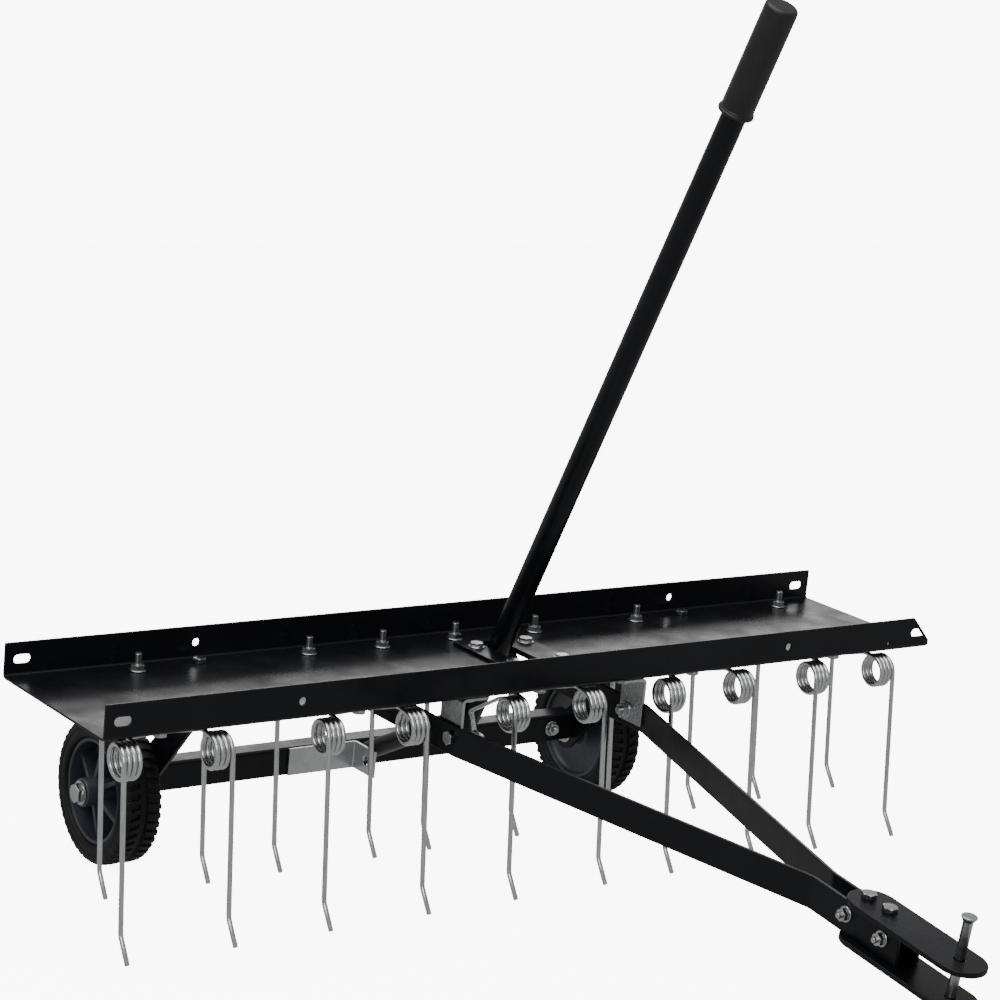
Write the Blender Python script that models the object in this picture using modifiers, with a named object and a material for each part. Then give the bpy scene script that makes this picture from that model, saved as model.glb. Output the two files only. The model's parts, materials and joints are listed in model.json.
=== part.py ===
"""Tow-behind lawn dethatcher: a pressed steel tray with two rows of sprung wire tines.

The machine is described in its deck frame, in metres: X to the right across the tray,
Y to the rear from the tray's front face, Z up from the tray's underside. One empty
carries the whole machine and leans it nose down, so that it stands on its wheels and
on the front tines, and the lowest point lies at Z = 0.
"""
import math

import bmesh
import bpy
from mathutils import Matrix, Vector

# Stance and clearances
LEAN = math.radians(8.05)
GAP = 0.0003
WELD = 0.00001

# Tray
TRAY_LENGTH = 1.016
TRAY_DEPTH = 0.203
TRAY_FLANGE = 0.0346
TRAY_SHEET = 0.0025
TRAY_BEND = 0.005
CORNER_CUT_LENGTH = 0.0245
CORNER_CUT_HEIGHT = 0.0265
SLANT_STRIP = 0.0035
END_SLOT_LENGTH = 0.018
END_SLOT_HEIGHT = 0.009
END_SLOT_INSET = 0.0184
FLANGE_HOLE_INSET = 0.2065
FLANGE_HOLE_RADIUS = 0.004
FLANGE_HOLE_RISE = 0.0178
DRAIN_INSET = 0.060
DRAIN_RISE = 0.0084
DRAIN_RADIUS = 0.0018

# Sprung tines
WIRE_RADIUS = 0.0025
COIL_RADIUS = 0.016
COIL_TURNS = 3.25
COIL_PITCH = 0.0053
COIL_POINTS_PER_TURN = 7
COIL_STUB = 0.0012
COIL_DROP = 0.022
LEG_SPREAD = 0.112
LEG_LENGTH = 0.1535
LEG_RAKE = 0.015
HEEL_RADIUS = 0.012
TIP_DROP = 0.0225
TIP_REACH = 0.0155
FRONT_COIL_Y = 0.006
REAR_COIL_FROM_BACK = 0.047
FRONT_INSETS = (0.0725, 0.1145)
REAR_INSETS = (0.130, 0.064)
CENTRE_TINES_X = (-0.004, -0.005)
FRONT_MIDWAY_SHIFTS = (0.0, 0.0)
REAR_MIDWAY_SHIFTS = (0.0075, 0.0175)
BOLT_BEHIND_COIL = 0.022
BRIDGE_AHEAD_OF_BOLT = 0.009
BRIDGE_BEND = 0.004

# Bolts: half the distance across corners, and heights
BOLT_RADIUS = 0.004
BOLT_HEX = 0.0075
HEAD_SUNK = 0.0005
BOLT_HEAD = 0.005
NUT_HEIGHT = 0.0065
THREAD_END = 0.011
LOOP_BOLT_HEX = 0.0082
BORE_CLEARANCE = 0.0004

# Drawbars and their hangers
BAR_SHEET = 0.004
BAR_DEPTH = 0.030
BAR_DROP = 0.0285
BAR_SLOPE = 0.0555
NOSE_SLOPE = 0.114
BAR_FROM_TINE = 0.02165
BAR_BEND_Y = 0.004
BAR_REAR_FROM_BACK = 0.013
BAR_BEND_RADIUS = 0.025
NOSE_SPREAD = 0.0250
NOSE_BEND_Y = -0.400
NOSE_END_Y = -0.5125
HANGER_SHEET = 0.003
HANGER_WIDTH = 0.036
HANGER_FLANGE = 0.030
HANGER_LEG = 0.052
HANGER_BOLT_SHARE = 0.42
FRONT_HANGER_Y = 0.0215
LEFT_BOLT_SHIFT = -0.009
RIGHT_BOLT_SHIFT = 0.0085
REAR_HANGER_FROM_BACK = 0.027

# Hitch, along the sloping nose of the drawbars
HITCH_Y = -0.450
STRAP_WIDTH = 0.047
STRAP_SHEET = 0.005
STRAP_REAR = 0.0115
STRAP_FRONT = -0.1450
STRAP_BOLTS = (-0.0052, -0.0320)
CROSS_BOLTS = (0.0032, -0.0432)
CROSS_RISE = 0.0025
CROSS_RADIUS = 0.003
CROSS_HEX = 0.0062
SPACER_WALL = 0.003
SPACER_REAR = 0.045
SPACER_FRONT = -0.054
PIN_Y = -0.1195
PIN_RADIUS = 0.0046
PIN_HEAD_RADIUS = 0.0072
PIN_HEAD_RISE = 0.0610
PIN_HEAD = 0.0018
PIN_HEAD_CONE = 0.0035
PIN_FOOT = -0.0424
CLIP_RADIUS = 0.00125
CLIP_BELOW_STRAP = 0.0065
CLIP_LEG = 0.014
CLIP_REACH = 0.034

# Wheels and lift
HINGE_FROM_BACK = 0.013
HINGE_DROP = 0.024
AXLE_BEHIND_HINGE = 0.1455
AXLE_BELOW_HINGE = 0.154
ARM_SHEET = 0.004
ARM_INNER_X = 0.281
ARM_HINGE_RADIUS = 0.012
ARM_AXLE_RADIUS = 0.020
HINGE_PIN_RADIUS = 0.006
BRACKET_SHEET = 0.003
BRACKET_FLANGE = 0.036
BRACKET_DEPTH = 0.024
BRACKET_LEG = 0.038
BEAM_HEIGHT = 0.030
BEAM_LEG = 0.026
BEAM_SHEET = 0.003
BEAM_AHEAD_OF_AXLE = 0.0165
BEAM_ABOVE_AXLE = 0.012
BEAM_HOLES = (0.012, 0.030)
TYRE_RADIUS = 0.0772
TYRE_WIDTH = 0.045
TYRE_SHOULDER = 0.008
TYRE_STEPS = 28
RIM_RADIUS = 0.0555
RIM_BAND = 0.004
RIM_WIDTH = 0.038
RIM_WEB = 0.004
RIM_WEB_INBOARD = 0.010
RIM_HUB = 0.015
HUB_INBOARD = 0.004
HUB_OUTBOARD = 0.010
RIM_RIBS = 6
RIM_RIB_SHEET = 0.005
RIB_HEIGHTS = (0.55, 0.95)
RIM_STEPS = 18
AXLE_RADIUS = 0.006
AXLE_HEX = 0.0108
AXLE_HEAD = 0.0075
WHEEL_PLAY = 0.0005

# Handle, tilted forwards in its own plane
HANDLE_X = 0.0185
HANDLE_RADIUS = 0.012
HANDLE_LEAN = math.radians(25.06)
HANDLE_AHEAD_OF_SLOT_END = 0.0202
HANDLE_FOOT_DROP = 0.088
HANDLE_BELOW_PIN = 0.012
GRIP_RADIUS = 0.0158
GRIP_COLLAR_RADIUS = 0.0175
GRIP_COLLAR = 0.010
GRIP_START = 0.748
GRIP_LENGTH = 0.113
GRIP_PLAY = 0.0004
GRIP_ROUND = 0.003
HANDLE_INTO_GRIP = 0.095
CENTRE_ARM_RADIUS = 0.010
CENTRE_ARM_GAP = 0.007
CENTRE_ARM_PAST_PIN = 0.012
FOOT_PIN_RADIUS = 0.005
FOOT_PIN_END = 0.004
BEAM_BRACKET_WIDTH = 0.086
BEAM_BRACKET_TAB = 0.042
BEAM_BRACKET_SHEET = 0.003
BEAM_BRACKET_HOLE = 0.005
BEAM_BRACKET_HOLE_SHARE = 0.6

# Bent strip under the tray that stops the lever, in (Y, Z)
STOP_SHEET = 0.003
STOP_WIDTH = 0.006
STOP_FLANGE = 0.020
STOP_PATH = (
    (0.0823, -0.0328),
    (0.1005, -0.0394),
    (0.1476, -0.0678),
    (0.1388, -0.0880),
    (0.1242, -0.0889),
)

# Slot in the tray and the plate round it
SLOT_SIDE_PLAY = 0.0015
SLOT_FRONT_Y = 0.056
SLOT_AHEAD_OF_BOLT = 0.025
SLOT_CORNER = 0.004
SLOT_PLATE_WIDTH = 0.088
SLOT_PLATE_SHIFT = 0.0065
SLOT_PLATE_SHEET = 0.003
SLOT_PLATE_MARGIN = 0.009
SLOT_BOLT_SPREAD = (0.063, 0.064)

# Values that follow from the ones above
HALF_LENGTH = TRAY_LENGTH / 2.0
REAR_COIL_Y = TRAY_DEPTH - REAR_COIL_FROM_BACK
REAR_BOLT_Y = REAR_COIL_Y + BOLT_BEHIND_COIL
SLOT_REAR_Y = REAR_BOLT_Y - SLOT_AHEAD_OF_BOLT
HANDLE_AT_FLOOR_Y = SLOT_REAR_Y - HANDLE_AHEAD_OF_SLOT_END
HINGE_Y = TRAY_DEPTH - HINGE_FROM_BACK
HINGE_Z = -HINGE_DROP
AXLE_Y = HINGE_Y + AXLE_BEHIND_HINGE
AXLE_Z = HINGE_Z - AXLE_BELOW_HINGE
BEAM_Z = AXLE_Z + BEAM_ABOVE_AXLE
CENTRE_ARM_X = HANDLE_X - HANDLE_RADIUS - CENTRE_ARM_GAP - CENTRE_ARM_RADIUS
ARM_OUTER_X = ARM_INNER_X + ARM_SHEET
WHEEL_X = ARM_OUTER_X + WHEEL_PLAY + HUB_INBOARD + TYRE_WIDTH / 2.0
BAR_NOSE_FALL = (BAR_SLOPE * (BAR_BEND_Y - NOSE_BEND_Y)
                 + NOSE_SLOPE * (NOSE_BEND_Y - HITCH_Y))
BAR_NOSE_Z = -BAR_DROP - BAR_NOSE_FALL - BAR_DEPTH / 2.0
UP_HANDLE = Vector((0.0, -math.sin(HANDLE_LEAN), math.cos(HANDLE_LEAN)))
HANDLE_FOOT = Vector((
    HANDLE_X,
    HANDLE_AT_FLOOR_Y + HANDLE_FOOT_DROP * math.tan(HANDLE_LEAN),
    -HANDLE_FOOT_DROP,
))


# Scene and materials

def clear_scene():
    """Remove every object that the file starts with."""
    for thing in list(bpy.data.objects):
        bpy.data.objects.remove(thing)


def make_collection(name):
    collection = bpy.data.collections.new(name)
    bpy.context.scene.collection.children.link(collection)
    return collection


def make_material(name, colour, roughness, metallic):
    material = bpy.data.materials.new(name)
    material.use_nodes = True
    shader = material.node_tree.nodes["Principled BSDF"]
    shader.inputs["Base Color"].default_value = (*colour, 1.0)
    shader.inputs["Roughness"].default_value = roughness
    shader.inputs["Metallic"].default_value = metallic
    return material


def make_empty(name, parent, at, turn=0.0):
    """An empty that carries pieces; turn is about X."""
    empty = bpy.data.objects.new(name, None)
    empty.empty_display_size = 0.05
    empty.location = at
    empty.rotation_euler = (turn, 0.0, 0.0)
    empty.parent = parent
    MACHINE.objects.link(empty)
    return empty


def add_piece(name, mesh, material, parent, at=(0.0, 0.0, 0.0), shift=True):
    """Put a mesh in the machine with its origin at a point of its parent's frame."""
    if shift:
        mesh.transform(Matrix.Translation(-Vector(at)))
    if not mesh.materials:
        mesh.materials.append(material)
    mesh.shade_smooth()
    mesh.set_sharp_from_angle(angle=math.radians(35.0))
    piece = bpy.data.objects.new(name, mesh)
    piece.location = at
    piece.parent = parent
    MACHINE.objects.link(piece)
    return piece


# Solids

def settled(source):
    """Turn a helper object into a welded mesh with its faces out, and remove it."""
    bpy.context.view_layer.update()
    depsgraph = bpy.context.evaluated_depsgraph_get()
    mesh = bpy.data.meshes.new_from_object(source.evaluated_get(depsgraph))
    mesh.transform(source.matrix_world)
    bpy.data.objects.remove(source)
    work = bmesh.new()
    work.from_mesh(mesh)
    bmesh.ops.remove_doubles(work, verts=work.verts, dist=WELD)
    bmesh.ops.recalc_face_normals(work, faces=work.faces)
    work.to_mesh(mesh)
    work.free()
    return mesh


def helper(data):
    thing = bpy.data.objects.new("helper", data)
    MACHINE.objects.link(thing)
    return thing


def joined(meshes):
    """Several meshes as one, still separate bodies."""
    work = bmesh.new()
    for mesh in meshes:
        work.from_mesh(mesh)
    result = bpy.data.meshes.new("joined")
    work.to_mesh(result)
    work.free()
    return result


def combined(mesh, tools, operation):
    """Boolean of a mesh with one or more tool meshes, each in its turn."""
    body = helper(mesh)
    helpers = []
    for tool_mesh in tools:
        tool = helper(tool_mesh)
        modifier = body.modifiers.new("combine", "BOOLEAN")
        modifier.operation = operation
        modifier.solver = "EXACT"
        modifier.object = tool
        helpers.append(tool)
    result = settled(body)
    for tool in helpers:
        bpy.data.objects.remove(tool)
    return result


def fused(mesh, *others):
    return combined(mesh, others, "UNION")


def cut(mesh, *tools):
    return combined(mesh, [joined(tools)], "DIFFERENCE")


AXES = {
    "X": Matrix(((0, 0, 1, 0), (1, 0, 0, 0), (0, 1, 0, 0), (0, 0, 0, 1))),
    "Y": Matrix(((1, 0, 0, 0), (0, 0, -1, 0), (0, 1, 0, 0), (0, 0, 0, 1))),
    "Z": Matrix.Identity(4),
}


def prism(loops, axis, low, high):
    """A flat outline, with holes where more loops follow, extruded along an axis.

    Its points are (Y, Z) along X, (X, Z) along Y and (X, Y) along Z.
    """
    curve = bpy.data.curves.new("outline", "CURVE")
    curve.dimensions = "2D"
    curve.fill_mode = "BOTH"
    curve.extrude = (high - low) / 2.0
    for loop in loops:
        spline = curve.splines.new("POLY")
        spline.points.add(len(loop) - 1)
        for point, (first, second) in zip(spline.points, loop):
            point.co = (first, second, 0.0, 1.0)
        spline.use_cyclic_u = True
    middle = (low + high) / 2.0
    if axis == "Y":
        middle = -middle
    thing = helper(curve)
    thing.matrix_world = AXES[axis] @ Matrix.Translation((0.0, 0.0, middle))
    return settled(thing)


def block(low, high):
    """A box between two corners."""
    work = bmesh.new()
    bmesh.ops.create_cube(work, size=1.0)
    low = Vector(low)
    high = Vector(high)
    size = high - low
    place = Matrix.Translation((low + high) / 2.0) @ Matrix.Diagonal((*size, 1.0))
    bmesh.ops.transform(work, matrix=place, verts=work.verts)
    mesh = bpy.data.meshes.new("block")
    work.to_mesh(mesh)
    work.free()
    return mesh


def turned(profile, steps, axis, at, closed=False):
    """A profile of (radius, height) points, top first, turned round an axis."""
    mesh = bpy.data.meshes.new("profile")
    count = len(profile)
    edges = [(index, index + 1) for index in range(count - 1)]
    if closed:
        edges.append((count - 1, 0))
    mesh.from_pydata([(radius, 0.0, height) for radius, height in profile], edges, [])
    thing = helper(mesh)
    screw = thing.modifiers.new("turn", "SCREW")
    screw.steps = steps
    screw.render_steps = steps
    screw.use_merge_vertices = True
    screw.merge_threshold = WELD
    thing.matrix_world = Matrix.Translation(at) @ AXES[axis]
    return settled(thing)


def rod(radius, axis, low, high, at, sides=12):
    """A plain round bar along an axis, from low to high."""
    profile = ((0.0, high), (radius, high), (radius, low), (0.0, low))
    return turned(profile, sides, axis, at)


def bolt(axis, at, head, grip, nut, tail, radius, hexagon):
    """A hexagon bolt along an axis: head, plain grip, nut and threaded tail.

    The face under the head lies at the point; the bolt runs up the axis from there.
    """
    profile = (
        (0.0, grip + nut + tail),
        (radius, grip + nut + tail),
        (radius, grip + nut),
        (hexagon, grip + nut),
        (hexagon, grip),
        (radius, grip),
        (radius, 0.0),
        (hexagon, 0.0),
        (hexagon, -head),
        (0.0, -head),
    )
    return turned(profile, 6, axis, at)


def wire(points, radius, resolution=1):
    """A round wire through points, with flat ends."""
    curve = bpy.data.curves.new("wire", "CURVE")
    curve.dimensions = "3D"
    curve.bevel_depth = radius
    curve.bevel_resolution = resolution
    curve.use_fill_caps = True
    spline = curve.splines.new("POLY")
    spline.points.add(len(points) - 1)
    for point, place in zip(spline.points, points):
        point.co = (*place, 1.0)
    return settled(helper(curve))


# Outlines and paths

def arc(centre, radius, start, end, segments):
    """Points of an arc, angles in degrees."""
    points = []
    for step in range(segments + 1):
        angle = math.radians(start + (end - start) * step / segments)
        points.append((
            centre[0] + radius * math.cos(angle),
            centre[1] + radius * math.sin(angle),
        ))
    return points


def ring(centre, radius, sides):
    """A closed circle whose flats, not its corners, lie at the radius."""
    outer = radius / math.cos(math.pi / sides)
    return arc(centre, outer, 0.0, 360.0, sides)[:-1]


def rectangle(low, high):
    return [low, (high[0], low[1]), high, (low[0], high[1])]


def rounded_path(corners, radius, segments=3):
    """A path whose inner corners are rounded by arcs of one radius."""
    path = [Vector(corners[0])]
    for before, corner, after in zip(corners, corners[1:], corners[2:]):
        corner = Vector(corner)
        back = (Vector(before) - corner).normalized()
        ahead = (Vector(after) - corner).normalized()
        half = back.angle(ahead) / 2.0
        reach = radius / math.tan(half)
        centre = corner + (back + ahead).normalized() * radius / math.sin(half)
        first = (corner + back * reach - centre).normalized()
        last = (corner + ahead * reach - centre).normalized()
        for step in range(segments + 1):
            path.append(centre + first.slerp(last, step / segments) * radius)
    path.append(Vector(corners[-1]))
    return path


def strip_outline(path, sheet):
    """The outline of a bent strip of one thickness along a flat path."""
    left = []
    right = []
    for index, point in enumerate(path):
        before = path[max(index - 1, 0)]
        after = path[min(index + 1, len(path) - 1)]
        into = (point - before).normalized() if index else (after - point).normalized()
        out = (after - point).normalized() if after != point else into
        along = (into + out).normalized()
        side = Vector((-along.y, along.x)) * sheet / 2.0 / along.dot(out)
        left.append(tuple(point + side))
        right.append(tuple(point - side))
    return left + right[::-1]


def link_outline(first, first_radius, second, second_radius, segments=5):
    """The outline of a link with two round ends of unlike radii."""
    run = Vector(second) - Vector(first)
    aim = math.degrees(math.atan2(run.y, run.x))
    lean = math.degrees(math.acos((first_radius - second_radius) / run.length))
    outline = arc(first, first_radius, aim + lean, aim + 360.0 - lean, segments)
    outline += arc(second, second_radius, aim - lean, aim + lean, segments + 2)
    return outline


def tine_places(insets, centre, shifts):
    """Five places across the tray: two ends, the middle and two about midway."""
    left = insets[0] - HALF_LENGTH
    right = HALF_LENGTH - insets[1]
    return (
        left,
        (left + centre) / 2.0 + shifts[0],
        centre,
        (right + centre) / 2.0 + shifts[1],
        right,
    )


FRONT_TINES = tine_places(FRONT_INSETS, CENTRE_TINES_X[0], FRONT_MIDWAY_SHIFTS)
REAR_TINES = tine_places(REAR_INSETS, CENTRE_TINES_X[1], REAR_MIDWAY_SHIFTS)
BAR_X = FRONT_TINES[3] - LEG_SPREAD / 2.0 - BAR_FROM_TINE
HANGER_OUTER_X = BAR_X - BAR_SHEET / 2.0 - GAP
HANGER_BOLT_X = HANGER_OUTER_X - HANGER_SHEET - HANGER_FLANGE / 2.0
HANGER_BOLT_Z = -BAR_DROP - BAR_DEPTH * HANGER_BOLT_SHARE
REAR_HANGER_Y = TRAY_DEPTH - REAR_HANGER_FROM_BACK
BRACKET_INNER_X = ARM_OUTER_X + GAP
BRACKET_BOLT_X = BRACKET_INNER_X + BRACKET_SHEET + 0.018
BRACKET_BOLT_Y = HINGE_Y - 0.006


# Tray

def tray_section():
    """The channel's section in (Y, Z), with bent corners."""
    inner = TRAY_BEND - TRAY_SHEET
    top = TRAY_FLANGE
    section = [(0.0, top)]
    section += arc((TRAY_BEND, TRAY_BEND), TRAY_BEND, 180.0, 270.0, 3)
    section += arc((TRAY_DEPTH - TRAY_BEND, TRAY_BEND), TRAY_BEND, 270.0, 360.0, 3)
    section += [(TRAY_DEPTH, top), (TRAY_DEPTH - TRAY_SHEET, top)]
    section += arc((TRAY_DEPTH - TRAY_BEND, TRAY_BEND), inner, 360.0, 270.0, 3)
    section += arc((TRAY_BEND, TRAY_BEND), inner, 270.0, 180.0, 3)
    section += [(TRAY_SHEET, top)]
    return section


def through_hole(x, y):
    """A cutter for one bolt hole in the tray's floor."""
    return prism([ring((x, y), BOLT_RADIUS + BORE_CLEARANCE, 6)], "Z", -0.01, 0.01)


def end_slot(x, low, high):
    """A cutter for a long slot near one end of a flange."""
    half = (END_SLOT_LENGTH - END_SLOT_HEIGHT) / 2.0
    radius = END_SLOT_HEIGHT / 2.0
    outline = arc((x + half, FLANGE_HOLE_RISE), radius, -90.0, 90.0, 4)
    outline += arc((x - half, FLANGE_HOLE_RISE), radius, 90.0, 270.0, 4)
    return prism([outline], "Y", low, high)


def slant_x(z, inset=0.0):
    """Where the slanted end of the front flange lies at one height."""
    fall = CORNER_CUT_LENGTH / CORNER_CUT_HEIGHT
    return HALF_LENGTH - (z - TRAY_FLANGE + CORNER_CUT_HEIGHT) * fall - inset


def slanted_slot(x, low, high):
    """The end slot beside the slanted corner, cut off parallel to the slant."""
    radius = END_SLOT_HEIGHT / 2.0
    foot = FLANGE_HOLE_RISE - radius
    top = FLANGE_HOLE_RISE + radius
    start = x - END_SLOT_LENGTH / 2.0 + radius
    outline = arc((start, FLANGE_HOLE_RISE), radius, 90.0, 270.0, 4)
    outline.append((slant_x(foot, SLANT_STRIP), foot))
    outline.append((slant_x(top, SLANT_STRIP), top))
    return prism([outline], "Y", low, high)


def make_tray():
    tray = prism([tray_section()], "X", -HALF_LENGTH, HALF_LENGTH)
    cutters = []
    for x in FRONT_TINES:
        cutters.append(through_hole(x, FRONT_COIL_Y + BOLT_BEHIND_COIL))
    for x in REAR_TINES:
        cutters.append(through_hole(x, REAR_BOLT_Y))
    for side in (-1.0, 1.0):
        for y in (FRONT_HANGER_Y, REAR_HANGER_Y):
            cutters.append(through_hole(side * HANGER_BOLT_X, y))
        cutters.append(through_hole(side * BRACKET_BOLT_X, BRACKET_BOLT_Y))
        hole = (side * (HALF_LENGTH - FLANGE_HOLE_INSET), FLANGE_HOLE_RISE)
        cutters.append(prism([ring(hole, FLANGE_HOLE_RADIUS, 32)], "Y",
                             -0.01, TRAY_DEPTH + 0.01))
    slot_x = HALF_LENGTH - END_SLOT_INSET
    past = 0.01
    cutters.append(end_slot(-slot_x, -past, TRAY_DEPTH + past))
    cutters.append(end_slot(slot_x, TRAY_DEPTH / 2.0, TRAY_DEPTH + past))
    cutters.append(slanted_slot(slot_x, -past, TRAY_DEPTH / 2.0))
    drain = (HALF_LENGTH - DRAIN_INSET, DRAIN_RISE)
    cutters.append(prism([ring(drain, DRAIN_RADIUS, 6)], "Y", -past, past))
    cutters.append(handle_slot_cutter())
    cutters.append(corner_cutter())
    return add_piece("tray", cut(tray, *cutters), BLACK, BASE)


def corner_cutter():
    """The slanted corner at the right end of the front flange."""
    past = 0.01
    outline = [
        (HALF_LENGTH - CORNER_CUT_LENGTH, TRAY_FLANGE),
        (HALF_LENGTH, TRAY_FLANGE - CORNER_CUT_HEIGHT),
        (HALF_LENGTH + past, TRAY_FLANGE - CORNER_CUT_HEIGHT),
        (HALF_LENGTH + past, TRAY_FLANGE + past),
        (HALF_LENGTH - CORNER_CUT_LENGTH, TRAY_FLANGE + past),
    ]
    return prism([outline], "Y", -past, TRAY_BEND)


def handle_slot_outline():
    half = HANDLE_RADIUS + SLOT_SIDE_PLAY
    corner = SLOT_CORNER
    low = (HANDLE_X - half, SLOT_FRONT_Y)
    high = (HANDLE_X + half, SLOT_REAR_Y)
    outline = arc((high[0] - corner, high[1] - corner), corner, 0.0, 90.0, 2)
    outline += arc((low[0] + corner, high[1] - corner), corner, 90.0, 180.0, 2)
    outline += arc((low[0] + corner, low[1] + corner), corner, 180.0, 270.0, 2)
    outline += arc((high[0] - corner, low[1] + corner), corner, 270.0, 360.0, 2)
    return outline


def handle_slot_cutter():
    return prism([handle_slot_outline()], "Z", -0.01, 0.01)


def make_slot_plate():
    """The plate round the handle's slot, with its four flat hexagon heads."""
    centre = HANDLE_X + SLOT_PLATE_SHIFT
    low = (centre - SLOT_PLATE_WIDTH / 2.0, SLOT_FRONT_Y - SLOT_PLATE_MARGIN)
    high = (centre + SLOT_PLATE_WIDTH / 2.0, SLOT_REAR_Y + SLOT_PLATE_MARGIN)
    base = TRAY_SHEET + GAP
    top = base + SLOT_PLATE_SHEET
    plate = prism([rectangle(low, high), handle_slot_outline()], "Z", base, top)
    heads = []
    middle_y = (SLOT_FRONT_Y + SLOT_REAR_Y) / 2.0
    for across in (-0.5, 0.5):
        for along in (-0.5, 0.5):
            at = (centre + across * SLOT_BOLT_SPREAD[0],
                  middle_y + along * SLOT_BOLT_SPREAD[1], top)
            heads.append(rod(BOLT_HEX, "Z", -SLOT_PLATE_SHEET / 2.0, BOLT_HEAD, at, 6))
    return add_piece("slot_plate", fused(plate, joined(heads)), BLACK, BASE)


# Sprung tines, built round the coils' axis

def coil_place(side, turns):
    """A point of the coil, counted in turns from the leg, up the front first."""
    angle = math.pi - 2.0 * math.pi * turns
    return (
        side * (LEG_SPREAD / 2.0 - COIL_PITCH * turns),
        COIL_RADIUS * math.cos(angle),
        COIL_RADIUS * math.sin(angle),
    )


def tine_mesh(side):
    """One leg and its coil; side is -1 at the left and 1 at the right."""
    x = side * LEG_SPREAD / 2.0
    heel = (x, -COIL_RADIUS - LEG_RAKE, -LEG_LENGTH)
    tip = (x, heel[1] - TIP_REACH, heel[2] - TIP_DROP)
    shin = (x, -COIL_RADIUS, -COIL_RADIUS / 2.0)
    points = [tuple(place) for place in rounded_path([tip, heel, shin], HEEL_RADIUS, 2)]
    points.pop()
    count = round(COIL_TURNS * COIL_POINTS_PER_TURN)
    for step in range(count + 1):
        points.append(coil_place(side, COIL_TURNS * step / count))
    last = points[-1]
    points.append((last[0], last[1] + COIL_STUB, last[2]))
    return wire(points, WIRE_RADIUS)


def tine_bridge_mesh():
    """The wire between two coils, looped round its bolt, with washer and nut."""
    start = coil_place(1.0, COIL_TURNS)
    height = COIL_DROP - WIRE_RADIUS - GAP
    loop_radius = BOLT_RADIUS + WIRE_RADIUS - 0.0004
    turn_y = BOLT_BEHIND_COIL - BRIDGE_AHEAD_OF_BOLT
    half = rounded_path([
        (start[0], COIL_STUB + GAP, start[2]),
        (start[0], turn_y, (start[2] + height) / 2.0),
        (loop_radius, turn_y, height),
        (loop_radius, BOLT_BEHIND_COIL, height),
    ], BRIDGE_BEND, 1)
    loop = arc((0.0, BOLT_BEHIND_COIL), loop_radius, 0.0, 180.0, 4)
    points = [tuple(place) for place in half]
    points += [(x, y, height) for x, y in loop[1:-1]]
    points += [(-x, y, z) for x, y, z in reversed(half)]
    under = height - WIRE_RADIUS * 0.5
    grip = COIL_DROP + TRAY_SHEET + GAP - under
    screw = bolt("Z", (0.0, BOLT_BEHIND_COIL, under), BOLT_HEAD, grip,
                 NUT_HEIGHT, THREAD_END, BOLT_RADIUS, LOOP_BOLT_HEX)
    return fused(screw, wire(points, WIRE_RADIUS))


def make_tines():
    legs = {"left": tine_mesh(-1.0), "right": tine_mesh(1.0)}
    bridge = tine_bridge_mesh()
    rows = (("front", FRONT_COIL_Y, FRONT_TINES), ("rear", REAR_COIL_Y, REAR_TINES))
    for row, y, places in rows:
        for number, x in enumerate(places, start=1):
            at = (x, y, -COIL_DROP)
            axis = make_empty(f"axis_{row}_{number}", BASE, at)
            for side, mesh in legs.items():
                add_piece(f"tine_{row}_{number}_{side}", mesh, ZINC, axis, shift=False)
            add_piece(f"tine_bolt_{row}_{number}", bridge, ZINC, BASE, at, shift=False)


# Drawbars

def make_drawbar(name, side):
    """A flat bar on edge: straight under the tray, then in to the hitch."""
    corners = [
        (side * BAR_X, TRAY_DEPTH - BAR_REAR_FROM_BACK),
        (side * BAR_X, BAR_BEND_Y),
        (side * NOSE_SPREAD / 2.0, NOSE_BEND_Y),
        (side * NOSE_SPREAD / 2.0, NOSE_END_Y),
    ]
    path = rounded_path(corners, BAR_BEND_RADIUS, 4)
    bar = prism([strip_outline(path, BAR_SHEET)], "Z", -BAR_DROP - BAR_DEPTH, -BAR_DROP)
    for vertex in bar.vertices:
        nose = min(vertex.co.y - NOSE_BEND_Y, 0.0)
        ahead = min(vertex.co.y - BAR_BEND_Y, 0.0) - nose
        vertex.co.z += BAR_SLOPE * ahead + NOSE_SLOPE * nose
    bores = []
    for y in (FRONT_HANGER_Y + side_bolt_shift(side), REAR_HANGER_Y):
        bores.append(cross_bore(side * BAR_X, y, HANGER_BOLT_Z))
    for along in CROSS_BOLTS:
        height = BAR_NOSE_Z + NOSE_SLOPE * along + CROSS_RISE
        bores.append(cross_bore(side * NOSE_SPREAD / 2.0, HITCH_Y + along, height))
    return add_piece(name, cut(bar, *bores), BLACK, BASE)


def side_bolt_shift(side):
    """How far a front hanger's side bolt sits from the hanger's middle."""
    return RIGHT_BOLT_SHIFT if side > 0.0 else LEFT_BOLT_SHIFT


def cross_bore(x, y, z):
    return prism([ring((y, z), BOLT_RADIUS + BORE_CLEARANCE, 8)], "X",
                 x - BAR_SHEET * 2.0, x + BAR_SHEET * 2.0)


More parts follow.
